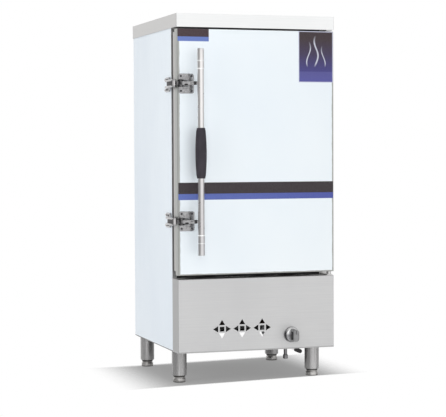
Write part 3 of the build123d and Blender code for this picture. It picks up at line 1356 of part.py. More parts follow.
def keeper(z):
    """Plate with two tail wings on the cabinet's side, and an arm forward to the roller's fork."""
    half = KEEPER_HALF
    arm_half = KEEPER_ARM_HALF
    wing = (
        (KEEPER_FRONT, arm_half),
        (KEEPER_FRONT + KEEPER_SHOULDER, half),
        (KEEPER_FRONT + KEEPER_WING, half),
        (KEEPER_FRONT + KEEPER_LENGTH, half - KEEPER_TIP_DROP),
        (KEEPER_FRONT + KEEPER_WING, half - KEEPER_TAIL_DROP),
        (KEEPER_FRONT + KEEPER_NOTCH, KEEPER_NOTCH_HALF),
    )
    corners = [(y, z + up) for y, up in wing] + [(y, z - up) for y, up in reversed(wing)]
    outer = -BODY_X - KEEPER_PLATE
    plate = slab_x(outline(*corners), outer, -BODY_X)
    inner = -BODY_X - KEEPER_ARM_CLEAR
    arm = outline(
        (-BODY_X, KEEPER_FRONT + KEEPER_ROOT),
        (outer - EAR_THICK, KEEPER_FRONT + KEEPER_ROOT - KEEPER_PLATE),
        (KEEPER_X, KEEPER_FRONT - KEEPER_BRACE),
        (KEEPER_X, WEB_Y),
        (inner, WEB_Y),
        (inner, KEEPER_FRONT - 2 * KEEPER_BRACE),
        (outer, KEEPER_FRONT - KEEPER_HEEL),
        (-BODY_X, KEEPER_FRONT),
    )
    piece = plate + slab_z(arm, z - arm_half, z + arm_half)
    root_r = (inner - KEEPER_X) / 2
    ear = link(ROLLER_X, ROLLER_Y, EAR_R, KEEPER_X + root_r, WEB_Y + EAR_THICK / 2, root_r)
    near = arm_half - EAR_THICK
    piece += slab_z(ear, z - arm_half, z - near) + slab_z(ear, z + near, z + arm_half)
    piece -= rod_z(ROLLER_X, ROLLER_Y, z - near, z + near, ROLLER_R + ROLLER_SIDE_GAP)
    piece -= rod_z(ROLLER_X, ROLLER_Y, z - arm_half - 1, z + arm_half + 1, ROLLER_PIN_R)
    for y, screw_z in keeper_screw_places():
        piece -= rod_x(y, screw_z, outer - 1, 1 - BODY_X, SCREW_R + HOLE_CLEARANCE)
    return piece


def keeper_screws():
    screws = []
    for y, z in keeper_screw_places():
        face = -BODY_X - KEEPER_PLATE
        head = rod_x(y, z, face - SCREW_HEAD, face, SCREW_HEAD_R)
        screws.append(head + rod_x(y, z, face, -BODY_X, SCREW_R))
    return screws


def keeper_roller(z):
    roller = rod_z(ROLLER_X, ROLLER_Y, z - ROLLER_HEIGHT / 2, z + ROLLER_HEIGHT / 2, ROLLER_R)
    return roller - rod_z(ROLLER_X, ROLLER_Y, z - ROLLER_HEIGHT, z + ROLLER_HEIGHT, ROLLER_PIN_R + RUNNING)


def roller_pins():
    reach = KEEPER_ARM_HALF + ROLLER_PIN_OVER
    return [rod_z(ROLLER_X, ROLLER_Y, z - reach, z + reach, ROLLER_PIN_R) for z in LATCH_PLACES]


def save(name, *pieces):
    """Write one node, moved so that the origin is in the middle of the whole object."""
    solids = []
    for piece in pieces:
        solids.extend((Pos(-ORIGIN_X, -ORIGIN_Y, 0) * piece).solids())
    shape = solids[0] if len(solids) == 1 else Compound(children=solids)
    export_step(shape, f"parts/{name}.step")


os.makedirs("parts", exist_ok=True)

save("side_panel_left", side_panel(-1))
save("side_panel_right", side_panel(1))
save("back_panel", back_panel())
save("top_cap", top_cap())
save("front_frame", *front_frame())
save("base_frame", base_frame())
save("legs", *[leg(x, y) for x, y in leg_places()])
save("leg_bolts", *leg_bolts())
for (foot_x, foot_y), where in zip(leg_places(), ("front_left", "back_left", "front_right", "back_right")):
    save(f"foot_{where}", foot(foot_x, foot_y))

save("chamber_liner", *chamber_liner())
save("chamber_insulation", *chamber_insulation())
save("rack_posts", *rack_posts())
save("tray_rails", *tray_rails(-1), *tray_rails(1))
save("steam_plate", steam_plate())
save("water_tank", water_tank())
save("flame_skirt", flame_skirt())
save("flue_duct", *flue_duct())
save("flue_collar", flue_collar())

save("burner_bars", *[burner_bar(x) for x in burner_places()])
save("burner_manifold", burner_manifold())
save("gas_inlet_pipe", gas_inlet_pipe())
save("valve_outlet_pipe", valve_outlet_pipe())
save("gas_valve_body", gas_valve_body())
save("pilot_burner", pilot_burner())
save("push_collar", push_collar())
save("gas_knob", gas_knob())
save("knob_bezel", knob_bezel())

save("level_box", level_box())
save("float_valve", float_valve())
save("float_arm", float_arm())
save("water_inlet_pipe", water_inlet_pipe())
save("drain_pipe", drain_pipe())
save("drain_cock", drain_valve_body())
save("drain_lever", drain_lever())
save("drain_lever_sleeve", drain_lever_sleeve())
save("lower_front_panel", lower_front_panel())

save("door_skin", door_skin())
save("door_inner_pan", door_inner_pan())
save("door_insulation", door_insulation())
save("door_gasket", door_gasket())
save("door_stickers", *door_stickers())
save("hinge_brackets", *hinge_brackets())
save("hinge_pins", *hinge_pins())
save("hinge_bushes", *hinge_bushes())

save("latch_bases", *[latch_base(z) for z in LATCH_PLACES])
save("latch_screws", *latch_screws())
save("latch_pivot_pins", *latch_pivot_pins())
save("latch_levers", *[latch_lever(z) for z in LATCH_PLACES])
save("latch_neck_nuts", *[neck_nut(z) for z in LATCH_PLACES])
save("handle_tube", handle_tube())
save("handle_sleeves", handle_sleeve(TUBE_BOTTOM, 1), handle_sleeve(TUBE_TOP, -1))
save("handle_grip", handle_grip())
save("latch_keepers", *[keeper(z) for z in LATCH_PLACES])
save("cabinet_screws", *back_screws(), *keeper_screws())
save("keeper_roller_pins", *roller_pins())
save("keeper_roller_lower", keeper_roller(LATCH_PLACES[0]))
save("keeper_roller_upper", keeper_roller(LATCH_PLACES[1]))
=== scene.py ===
import math

import bmesh
import bpy
from mathutils import Matrix, Vector


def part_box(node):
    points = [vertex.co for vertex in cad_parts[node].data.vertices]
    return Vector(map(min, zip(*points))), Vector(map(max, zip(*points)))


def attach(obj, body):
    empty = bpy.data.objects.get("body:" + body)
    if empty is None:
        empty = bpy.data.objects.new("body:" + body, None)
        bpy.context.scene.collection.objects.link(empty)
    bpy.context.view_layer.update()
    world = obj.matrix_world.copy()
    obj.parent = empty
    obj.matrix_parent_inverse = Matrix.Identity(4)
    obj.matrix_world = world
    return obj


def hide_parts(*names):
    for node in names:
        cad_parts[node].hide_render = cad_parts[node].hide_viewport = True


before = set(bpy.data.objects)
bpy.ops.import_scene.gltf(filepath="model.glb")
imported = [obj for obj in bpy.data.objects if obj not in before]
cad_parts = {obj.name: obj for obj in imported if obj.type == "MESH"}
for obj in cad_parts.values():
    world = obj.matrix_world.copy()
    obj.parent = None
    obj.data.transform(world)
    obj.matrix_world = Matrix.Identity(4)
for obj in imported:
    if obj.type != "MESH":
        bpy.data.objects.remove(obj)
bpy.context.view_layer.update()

# Places below are in the cabinet's own millimetres: X from the cap's middle, Y from the
# cap's front, Z from the floor. This turns them into the frame's metres.
cap_low, cap_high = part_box("top_cap")
to_frame = Matrix.Translation(((cap_low.x + cap_high.x) / 2, cap_low.y, 0)) @ Matrix.Scale(0.001, 4)

# The photograph is taken a little left of the cabinet from standing chest height,
# with a long lens that is tipped slightly down.
CAMERA_PLACE = (-2117.98, -6051.5, 975.31)
CAMERA_YAW = math.radians(18.009)
CAMERA_DIP = math.radians(2.112)
CAMERA_ROLL = math.radians(0.251)
CAMERA_LENS = 123.02

scene = bpy.context.scene
scene.view_settings.view_transform = "Standard"
eye = bpy.data.cameras.new("camera")
eye.lens = CAMERA_LENS
eye.sensor_width = 36
eye.sensor_fit = "HORIZONTAL"
eye.clip_end = 50
camera = bpy.data.objects.new("camera", eye)
turn = Matrix.Rotation(-CAMERA_YAW, 4, "Z")
turn = turn @ Matrix.Rotation(math.pi / 2 - CAMERA_DIP, 4, "X") @ Matrix.Rotation(-CAMERA_ROLL, 4, "Z")
camera.matrix_world = Matrix.Translation(to_frame @ Vector(CAMERA_PLACE)) @ turn
scene.collection.objects.link(camera)
scene.camera = camera

# The studio is a white room with soft light from the front, the left and above. Metal sees
# none of the lamps: it sees a wide dark screen on its left, a paler one on its right and a
# greyish ceiling, which give rounded steel its grey edges.
WORLD_GREY = 0.66
LEFT_SCREEN = 0.34
RIGHT_SCREEN = 0.42
CEILING = 0.66
MIRROR_WHITE = 1.08
LAMPS = (
    ("front_lamp", (-850, -2700, 1900), (0, 0, 900), 2000, 20.0),
    ("left_lamp", (-2600, -900, 1500), (0, 300, 800), 1600, 18.5),
    ("top_lamp", (0, 250, 3400), (0, 350, 0), 900, 30.0),
)


def add(tree, kind, sockets=None, out=0, stops=(), **settings):
    """Add a shader node with its settings and links, and give back one of its outputs.

    Sockets take plain values or the outputs of other nodes; stops are a ramp's positions
    and colours."""
    node = tree.nodes.new("ShaderNode" + kind)
    for key, value in settings.items():
        setattr(node, key, value)
    for key, value in (sockets or {}).items():
        if isinstance(value, bpy.types.NodeSocket):
            tree.links.new(value, node.inputs[key])
        else:
            node.inputs[key].default_value = value
    if stops:
        band = node.color_ramp.elements
        while len(band) < len(stops):
            band.new(1.0)
        for element, (position, colour) in zip(band, stops):
            element.position = position
            element.color = colour
    return node.outputs[out] if node.outputs else None


def grey(level):
    return (level, level, level, 1.0)


world = bpy.data.worlds.new("studio")
world.use_nodes = True
scene.world = world
tree = world.node_tree
tree.nodes.clear()
white = grey(1.0)
way = add(tree, "TexCoord", out="Generated")
across = add(tree, "SeparateXYZ", {"Vector": way}, "X")
height = add(tree, "SeparateXYZ", {"Vector": way}, "Z")
left_to_right = add(tree, "MapRange", {"Value": across, "From Min": -1.0, "From Max": 1.0})
side_stops = (
    (0.0, grey(LEFT_SCREEN)),
    (0.14, grey(LEFT_SCREEN)),
    (0.24, white),
    (0.88, white),
    (0.94, grey(RIGHT_SCREEN)),
    (1.0, grey(RIGHT_SCREEN)),
)
sides = add(tree, "ValToRGB", {"Fac": left_to_right}, stops=side_stops)
ceiling = add(tree, "ValToRGB", {"Fac": height}, stops=((0.25, white), (0.7, grey(CEILING))))
screens = add(tree, "Mix", {0: 1.0, 6: sides, 7: ceiling}, 2, data_type="RGBA", blend_type="MULTIPLY")
mirrored = add(tree, "Background", {"Color": screens, "Strength": MIRROR_WHITE})
plain = add(tree, "Background", {"Color": white, "Strength": 1.0})
lighting = add(tree, "Background", {"Color": white, "Strength": WORLD_GREY})
glossy_ray = add(tree, "LightPath", out="Is Glossy Ray")
camera_ray = add(tree, "LightPath", out="Is Camera Ray")
clear_ray = add(tree, "LightPath", out="Is Transmission Ray")
straight = add(tree, "Math", {0: camera_ray, 1: clear_ray}, operation="MAXIMUM")
shown = add(tree, "MixShader", {0: glossy_ray, 1: lighting, 2: mirrored})
shown = add(tree, "MixShader", {0: straight, 1: shown, 2: plain})
add(tree, "OutputWorld", {"Surface": shown})

for name, at, aim, size, power in LAMPS:
    lamp = bpy.data.lights.new(name, "AREA")
    lamp.shape = "DISK"
    lamp.size = size / 1000
    lamp.energy = power
    stand = bpy.data.objects.new(name, lamp)
    start = to_frame @ Vector(at)
    heading = (to_frame @ Vector(aim) - start).to_track_quat("-Z", "Y")
    stand.matrix_world = Matrix.Translation(start) @ heading.to_matrix().to_4x4()
    stand.visible_glossy = False
    scene.collection.objects.link(stand)

# The floor is a matt sheet with a flat grey painted shadow under the cabinet, laid over its
# real shadow, which fades into the white of the room around it: quickly in front, slowly at the sides.
FLOOR_R = 3400.0
FLOOR_DROP = 0.5
FLOOR_SLANT = 0.125
FLOOR_FADES = (
    ("front", 94.0, 66.0),
    ("front", 690.0, 760.0),
    ("side", -310.0, -600.0),
    ("side", 300.0, 590.0),
)
FLOOR_SHADOW_GREY = 0.20
FLOOR_BOUNCE = 0.86
FLOOR_LIFT = 0.268


def new_tree(name):
    material = bpy.data.materials.new(name)
    material.use_nodes = True
    material.node_tree.nodes.clear()
    return material, material.node_tree


def set_in_scene(name, shape, material):
    """Turn a bmesh into an object of the scene."""
    mesh = bpy.data.meshes.new(name)
    shape.to_mesh(mesh)
    shape.free()
    mesh.materials.append(material)
    thing = bpy.data.objects.new(name, mesh)
    scene.collection.objects.link(thing)
    return thing


# Matt paper with no shine. To the camera it is dark grey and glows a little, as a painted shadow; to the
# light that it bounces it is pale.
material, tree = new_tree("pale floor with painted shadow")
camera_ray = add(tree, "LightPath", out="Is Camera Ray")
glossy_ray = add(tree, "LightPath", out="Is Glossy Ray")
seen = add(tree, "Math", {0: camera_ray, 1: glossy_ray}, operation="MAXIMUM")
place = add(tree, "TexCoord", out="Object")
across = add(tree, "SeparateXYZ", {"Vector": place}, "X")
depth = add(tree, "SeparateXYZ", {"Vector": place}, "Y")
slanted = add(tree, "Math", {0: across, 1: -FLOOR_SLANT, 2: depth}, operation="MULTIPLY_ADD")
middle = to_frame @ Vector((0, 0, 0))
fade = None
for way, near, far in FLOOR_FADES:
    shift = middle.y - FLOOR_SLANT * middle.x if way == "front" else middle.x
    sockets = {
        "Value": slanted if way == "front" else across,
        "From Min": shift + 0.001 * near,
        "From Max": shift + 0.001 * far,
    }
    step = add(tree, "MapRange", sockets, interpolation_type="SMOOTHSTEP")
    fade = add(tree, "Math", {0: fade, 1: step}, operation="MAXIMUM") if fade else step
# Painted shadow: the sheet is dark grey to the camera and pale to bounced light.
tint = add(tree, "Mix", {0: seen, 6: grey(FLOOR_BOUNCE), 7: grey(FLOOR_SHADOW_GREY)}, 2, data_type="RGBA")
lift = add(tree, "Math", {0: seen, 1: FLOOR_LIFT}, operation="MULTIPLY")
glow = add(tree, "Emission", {"Strength": lift})
sheet = add(tree, "AddShader", {0: add(tree, "BsdfDiffuse", {"Color": tint}), 1: glow})
gone = add(tree, "Math", {0: fade, 1: seen}, operation="MULTIPLY")
sheet = add(tree, "MixShader", {0: gone, 1: sheet, 2: add(tree, "BsdfTransparent")})
add(tree, "OutputMaterial", {"Surface": sheet})
shape = bmesh.new()
bmesh.ops.create_circle(shape, cap_ends=True, segments=64, radius=0.001 * FLOOR_R)
bmesh.ops.translate(shape, vec=(0, 0, -0.001 * FLOOR_DROP), verts=shape.verts)
floor = set_in_scene("floor", shape, material)

# A dark card stands under the cabinet, between the legs. Only the reflections in the legs and
# the pipes see it, and it gives them the dark side that the photograph shows.
CARD_LOW = Vector((-252.0, 215.0, 40.0))
CARD_HIGH = Vector((235.0, 520.0, 134.0))

material, tree = new_tree("dark card")
add(tree, "OutputMaterial", {"Surface": add(tree, "BsdfDiffuse", {"Color": grey(0.01)})})
shape = bmesh.new()
bmesh.ops.create_cube(shape, size=1.0)
bmesh.ops.scale(shape, vec=CARD_HIGH - CARD_LOW, verts=shape.verts)
bmesh.ops.translate(shape, vec=(CARD_LOW + CARD_HIGH) / 2, verts=shape.verts)
bmesh.ops.transform(shape, matrix=to_frame, verts=shape.verts)
card = set_in_scene("dark_card", shape, material)
card.visible_camera = False
card.visible_diffuse = False
card.visible_transmission = False
card.visible_shadow = False

# The cabinet's side sheets are brushed stainless steel, folded at the front and the back, and
# still wear the thin clear film that they are delivered with, which makes them pale and bluish.
FILM_SIDE = "EAF3FA"
FILM_SHADE = "DEE8F2"
# The lowest 4 mm of both side sheets are painted dark grey, as painted shade along their foot.
SIDE_FOOT_SHADE = ("side_panel_left", 4.0, "4C4B4A")
# Real grain is 0.1 mm wide, too fine to show, so it is drawn 1.11 mm wide and 200 mm long.
UPRIGHT_GRAIN = (1.11, 1.11, 200)


def linear(code):
    """A screen colour such as E1EBF5 as the values that a shader takes."""
    values = []
    for i in (0, 2, 4):
        part = int(code[i:i + 2], 16) / 255
        values.append(part / 12.92 if part <= 0.04045 else ((part + 0.055) / 1.055) ** 2.4)
    return (*values, 1.0)


def per_metre(*sizes):
    """How often a pattern repeats in a metre, from its sizes in millimetres along X, Y and Z."""
    return tuple(1000 / size for size in sizes)


# Brushed stainless steel: its fine lines stretch the light into streaks along the grain, and
# slow changes over half a metre keep a big sheet from looking flat. Film makes it glossier.
def brushed_steel(name, light, dark, grain, roughness, metal=0.85, film=0.0, end_shade=None, foot_shade=None):
    """Sheet steel whose grain is long on one axis, or an even mottle on all three. A node in it
    can have its two ends and a band at its foot painted darker than its front, as painted shade."""
    material, tree = new_tree(name)
    place = add(tree, "TexCoord", out="Object")
    stretched = add(tree, "Mapping", {"Vector": place, "Scale": per_metre(*grain)})
    lines = add(tree, "TexNoise", {"Vector": stretched, "Scale": 1.0, "Detail": 3.0, "Roughness": 0.6})
    stretched = add(tree, "Mapping", {"Vector": place, "Scale": per_metre(455, 455, 714)})
    clouds = add(tree, "TexNoise", {"Vector": stretched, "Scale": 1.0, "Detail": 3.0, "Roughness": 0.55})
    tone = add(tree, "Math", {0: lines, 1: clouds}, operation="MULTIPLY")
    share = add(tree, "MapRange", {"Value": tone, "From Min": 0.12, "From Max": 0.38})
    colour = add(tree, "Mix", {0: share, 6: linear(dark), 7: linear(light)}, 2, data_type="RGBA")
    # Painted shade: the node's two end faces take the end colour.
    if end_shade:
        node, end = end_shade
        low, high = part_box(node)
        across = add(tree, "SeparateXYZ", {"Vector": place}, "X")
        off = add(tree, "Math", {0: across, 1: (low.x + high.x) / 2}, operation="SUBTRACT")
        off = add(tree, "Math", {0: off}, operation="ABSOLUTE")
        half = (high.x - low.x) / 2
        share = add(tree, "MapRange", {"Value": off, "From Min": half - 0.0008, "From Max": half - 0.0004})
        colour = add(tree, "Mix", {0: share, 6: colour, 7: linear(end)}, 2, data_type="RGBA")
    # Painted shade: a band at the node's foot takes a darker colour.
    if foot_shade:
        node, tall, shade = foot_shade
        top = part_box(node)[0].z + 0.001 * tall
        height = add(tree, "SeparateXYZ", {"Vector": place}, "Z")
        share = add(tree, "MapRange", {"Value": height, "From Min": top, "From Max": top - 0.0005})
        colour = add(tree, "Mix", {0: share, 6: colour, 7: linear(shade)}, 2, data_type="RGBA")
    dull = add(
        tree,
        "MapRange",
        {
            "Value": lines,
            "From Min": 0.3,
            "From Max": 0.7,
            "To Min": roughness - 0.05,
            "To Max": roughness + 0.06,
        },
    )
    relief = add(tree, "Bump", {"Height": lines, "Strength": 0.12, "Distance": 0.0002})
    relief = add(tree, "Bump", {"Height": clouds, "Strength": 0.10, "Distance": 0.004, "Normal": relief})
    finish = {
        "Base Color": colour,
        "Metallic": metal,
        "Roughness": dull,
        "Normal": relief,
        "Coat Weight": film,
        "Coat Roughness": 0.22,
        "Coat IOR": 1.45,
    }
    add(tree, "OutputMaterial", {"Surface": add(tree, "BsdfPrincipled", finish)})
    return material


def dress(material, *nodes):
    """Give CAD nodes a finish; their shapes stay as they are."""
    for name in nodes:
        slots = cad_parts[name].material_slots
        if not slots:
            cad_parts[name].data.materials.append(material)
        for slot in slots:
            slot.material = material


side_steel = brushed_steel(
    "filmed side steel", FILM_SIDE, FILM_SHADE, UPRIGHT_GRAIN, 0.42, 0.45, 0.5, foot_shade=SIDE_FOOT_SHADE
)
dress(side_steel, "side_panel_left", "side_panel_right")

# The back sheet is held by a row of screws at each side, and the front frame, which the door
# shuts on, is welded. Both are the same brushed steel without a film: a plain, shinier grey.
back_steel = brushed_steel("bare back steel", "D8D8D7", "C9CACB", UPRIGHT_GRAIN, 0.34)
dress(back_steel, "back_panel", "front_frame")

# The top cover is one folded sheet of bare brushed steel, with a deep plain band in front
# and its grain running across the cabinet. Its two ends are painted darker than its front, as painted
# shade.
LEVEL_GRAIN = (200, 1.11, 1.11)
CAP_END_SHADE = ("top_cap", "D3D2D1")
cap_steel = brushed_steel("cap steel", "F8F9F9", "EFF0F0", LEVEL_GRAIN, 0.4, 0.92, end_shade=CAP_END_SHADE)
dress(cap_steel, "top_cap")

# The lower front panel is a folded sheet of bare brushed steel, with three pressed and cut
# stars of vent holes. Its ends and the fold at its foot are painted darker than its front, as painted
# shade.
PANEL_END_SHADE = ("lower_front_panel", "ABABAB")
PANEL_FOOT_SHADE = ("lower_front_panel", 6.0, "B2B2B2")
panel_steel = brushed_steel(
    "lower panel steel", "D1D1D1", "C5C5C6", LEVEL_GRAIN, 0.42, 0.55, end_shade=PANEL_END_SHADE, foot_shade=PANEL_FOOT_SHADE
)
dress(panel_steel, "lower_front_panel")

# The door's outer skin is brushed steel under the same clear film, which stops short of
# the folded edges and leaves a narrow margin of bare steel on three sides.
FILM_FRONT = "F4FAFD"
FILM_FRONT_SHADE = "ECF4FA"
MARGIN_STEEL = "B4B6B3"
MARGIN_SHADE = "9D9F9C"
FILM_LEFT = 9.0
FILM_RIGHT = 7.0
FILM_BOTTOM = 5.5
FILM_EDGE = 0.6

# Clear film on brushed steel: the front is pale and bluish with a soft gloss and slow ripples,
# and the margin that it leaves free is greyer and shines like metal.
door_low, door_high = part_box("door_skin")
material, tree = new_tree("filmed door steel")
place = add(tree, "TexCoord", out="Object")
across = add(tree, "SeparateXYZ", {"Vector": place}, "X")
depth = add(tree, "SeparateXYZ", {"Vector": place}, "Y")
height = add(tree, "SeparateXYZ", {"Vector": place}, "Z")
stretched = add(tree, "Mapping", {"Vector": place, "Scale": per_metre(*UPRIGHT_GRAIN)})
lines = add(tree, "TexNoise", {"Vector": stretched, "Scale": 1.0, "Detail": 3.0, "Roughness": 0.6})
stretched = add(tree, "Mapping", {"Vector": place, "Scale": per_metre(556, 556, 909)})
clouds = add(tree, "TexNoise", {"Vector": stretched, "Scale": 1.0, "Detail": 3.0, "Roughness": 0.5})
stretched = add(tree, "Mapping", {"Vector": place, "Scale": per_metre(111, 111, 500)})
wave = add(tree, "TexNoise", {"Vector": stretched, "Scale": 1.0, "Detail": 2.0, "Roughness": 0.5})
edge = add(tree, "TexNoise", {"Vector": place, "Scale": 1000 / 33.3, "Detail": 2.0, "Roughness": 0.5})
wander = add(
    tree, "MapRange", {"Value": edge, "From Min": 0.3, "From Max": 0.7, "To Min": -0.0009, "To Max": 0.0009}
)
lefts = add(tree, "Math", {0: across, 1: wander}, operation="ADD")
left = add(
    tree,
    "MapRange",
    {
        "Value": lefts,
        "From Min": door_low.x + 0.001 * FILM_LEFT,
        "From Max": door_low.x + 0.001 * (FILM_LEFT + FILM_EDGE),
    },
)
right = add(
    tree,
    "MapRange",
    {
        "Value": lefts,
        "From Min": door_high.x - 0.001 * FILM_RIGHT,
        "From Max": door_high.x - 0.001 * (FILM_RIGHT + FILM_EDGE),
    },
)
heights = add(tree, "Math", {0: height, 1: wander}, operation="ADD")
foot = add(
    tree,
    "MapRange",
    {
        "Value": heights,
        "From Min": door_low.z + 0.001 * FILM_BOTTOM,
        "From Max": door_low.z + 0.001 * (FILM_BOTTOM + FILM_EDGE),
    },
)
front = add(
    tree, "MapRange", {"Value": depth, "From Min": door_low.y + 0.0012, "From Max": door_low.y + 0.0006}
)
film = add(tree, "Math", {0: left, 1: right}, operation="MULTIPLY")
film = add(tree, "Math", {0: film, 1: foot}, operation="MULTIPLY")
film = add(tree, "Math", {0: film, 1: front}, operation="MULTIPLY")
share = add(tree, "MapRange", {"Value": clouds, "From Min": 0.3, "From Max": 0.7})
pale = add(tree, "Mix", {0: share, 6: linear(FILM_FRONT_SHADE), 7: linear(FILM_FRONT)}, 2, data_type="RGBA")
share = add(tree, "MapRange", {"Value": lines, "From Min": 0.3, "From Max": 0.7})
bare = add(tree, "Mix", {0: share, 6: linear(MARGIN_SHADE), 7: linear(MARGIN_STEEL)}, 2, data_type="RGBA")
relief = add(tree, "Bump", {"Height": lines, "Strength": 0.10, "Distance": 0.0002})
relief = add(tree, "Bump", {"Height": wave, "Strength": 0.12, "Distance": 0.003, "Normal": relief})
colour = add(tree, "Mix", {0: film, 6: bare, 7: pale}, 2, data_type="RGBA")
metallic = add(
    tree, "MapRange", {"Value": film, "From Min": 0.0, "From Max": 1.0, "To Min": 0.8, "To Max": 0.35}
)
dull = add(
    tree, "MapRange", {"Value": film, "From Min": 0.0, "From Max": 1.0, "To Min": 0.36, "To Max": 0.44}
)
coat = add(
    tree, "MapRange", {"Value": film, "From Min": 0.0, "From Max": 1.0, "To Min": 0.0, "To Max": 0.45}
)
finish = {
    "Base Color": colour,
    "Metallic": metallic,
    "Roughness": dull,
    "Normal": relief,
    "Coat Weight": coat,
    "Coat Roughness": 0.2,
    "Coat IOR": 1.45,
}
add(tree, "OutputMaterial", {"Surface": add(tree, "BsdfPrincipled", finish)})
dress(material, "door_skin")

# The door's inner pan is pressed from thinner steel with a plain mill finish. Its rim shows
# behind the skin as a lighter strip round the door's edge.
# Mill finish: an even grey with no grain, whose mottle is drawn 3 mm wide so that it shows.
pan_steel = brushed_steel("inner steel", "C4C2C0", "B0AEAC", (3.13, 3.13, 3.13), 0.38, 0.8)
dress(pan_steel, "door_inner_pan")

# Three printed sheets are stuck on the door: a strip right across it, a small label in its
# upper left corner and a leaflet in its upper right corner. The strip and the label are
# bare, and the leaflet carries a plain picture of rising steam.
PRINT_THICK = 0.3
DOOR_EDGE = 344.5
BAND_FOOT = 778.0
BAND_SPLIT = 803.0
BAND_HEAD = 850.0
PRINT_HEAD = 1486.2
LABEL_WIDTH = 135.0
LABEL_HEIGHT = 51.0
LABEL_SPLIT = 1454.0
LEAFLET_RIGHT = 344.5
LEAFLET_WIDTH = 156.0
LEAFLET_HEIGHT = 216.0
LEAFLET_BORDER = 3.5
LEAFLET_PANEL = 46.0

# This stands a flat piece up, with its upper face to the front.
to_front = Matrix.Rotation(math.pi / 2, 4, "X")


def rounded_plate(width, height, corner, thick, edge=0.0):
    """A plate in X and Y from its middle, with round corners and a rounded upper edge."""
    shape = bmesh.new()
    bmesh.ops.create_grid(shape, x_segments=1, y_segments=1, size=0.5)
    bmesh.ops.scale(shape, vec=(width, height, 1), verts=shape.verts)
    bmesh.ops.bevel(
        shape,
        geom=shape.verts[:],
        offset=corner,
        offset_type="OFFSET",
        segments=6,
        profile=0.5,
        affect="VERTICES",
        material=-1,
    )
    lifted = bmesh.ops.extrude_face_region(shape, geom=shape.faces[:])["geom"]
    upper = [item for item in lifted if isinstance(item, bmesh.types.BMVert)]
    bmesh.ops.translate(shape, verts=upper, vec=(0, 0, thick))
    bmesh.ops.recalc_face_normals(shape, faces=shape.faces)
    if edge:
        rim = [line for line in shape.edges if all(end.co.z > thick / 2 for end in line.verts)]
        bevel_edges(shape, rim, edge)
    return shape


def bevel_edges(shape, edges, offset, segments=3):
    bmesh.ops.bevel(
        shape,
        geom=edges,
        offset=offset,
        offset_type="OFFSET",
        segments=segments,
        profile=0.5,
        affect="EDGES",
        clamp_overlap=True,
        material=-1,
    )


def add_part(shape, part, matrix=Matrix()):
    """Move one bmesh by a matrix and join it to another."""
    bmesh.ops.transform(part, matrix=matrix, verts=part.verts)
    mesh = bpy.data.meshes.new("part")
    part.to_mesh(mesh)
    part.free()
    shape.from_mesh(mesh)
    bpy.data.meshes.remove(mesh)


def make_piece(name, shape, material, slot, body, *stands_for):
    """Turn a bmesh in the cabinet's millimetres into a piece that rides on a body."""
    bmesh.ops.transform(shape, matrix=to_frame, verts=shape.verts)
    mesh = bpy.data.meshes.new(name)
    shape.to_mesh(mesh)
    shape.free()
    mesh.shade_smooth()
    mesh.set_sharp_from_angle(angle=math.radians(35))
    mesh.materials.append(material)
    piece = bpy.data.objects.new(name, mesh)
    scene.collection.objects.link(piece)
    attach(piece, body)
    if stands_for:
        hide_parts(*stands_for)
    return piece


def printed_sheet(name, material, left, right, foot, head):
    shape = bmesh.new()
    sheet = rounded_plate(right - left, head - foot, 1.5, PRINT_THICK)
    middle = Matrix.Translation(((left + right) / 2, 0, (foot + head) / 2))
    add_part(shape, sheet, middle @ to_front)
    make_piece(name, shape, material, "printed_film", "door", "door_stickers")


# Printed vinyl: deep colours under a dull gloss, with slight ripples. Its print dots are far
# finer than a tenth of a millimetre, and are drawn 0.7 mm wide so that they show.
def two_tone(name, split, upper, lower, lower_right):
    """Print with one colour over another, and a soft change of tone along it."""
    material, tree = new_tree(name)
    place = add(tree, "TexCoord", out="Object")
    across = add(tree, "SeparateXYZ", {"Vector": place}, "X")
    height = add(tree, "SeparateXYZ", {"Vector": place}, "Z")
    along = add(tree, "MapRange", {"Value": across, "From Min": door_low.x, "From Max": door_high.x})
    foot = add(tree, "Mix", {0: along, 6: linear(lower), 7: linear(lower_right)}, 2, data_type="RGBA")
    step = add(
        tree,
        "MapRange",
        {"Value": height, "From Min": 0.001 * split - 0.0004, "From Max": 0.001 * split + 0.0004},
    )
    ink = add(tree, "Mix", {0: step, 6: foot, 7: linear(upper)}, 2, data_type="RGBA")
    dots = add(tree, "TexNoise", {"Vector": place, "Scale": 1000 / 0.714, "Detail": 2.0, "Roughness": 0.5})
    stretched = add(tree, "Mapping", {"Vector": place, "Scale": per_metre(71.4, 71.4, 25)})
    ripple = add(tree, "TexNoise", {"Vector": stretched, "Scale": 1.0, "Detail": 2.0, "Roughness": 0.5})
    share = add(
        tree, "MapRange", {"Value": dots, "From Min": 0.35, "From Max": 0.65, "To Min": 0.0, "To Max": 0.06}
    )
    shade = add(tree, "Mix", {0: share, 6: ink, 7: linear("FFFFFF")}, 2, data_type="RGBA")
    relief = add(tree, "Bump", {"Height": ripple, "Strength": 0.15, "Distance": 0.0008})
    finish = {"Base Color": shade, "Roughness": 0.5, "Specular IOR Level": 0.32, "Normal": relief}
    add(tree, "OutputMaterial", {"Surface": add(tree, "BsdfPrincipled", finish)})
    return material


band_print = two_tone("strip print", BAND_SPLIT, "22141C", "566AB4", "4450A2")
printed_sheet("printed_band", band_print, -DOOR_EDGE, DOOR_EDGE, BAND_FOOT, BAND_HEAD)
label_print = two_tone("label print", LABEL_SPLIT, "321A24", "6078BE", "6078BE")
label_right = LABEL_WIDTH - DOOR_EDGE
printed_sheet("corner_label", label_print, -DOOR_EDGE, label_right, PRINT_HEAD - LABEL_HEIGHT, PRINT_HEAD)

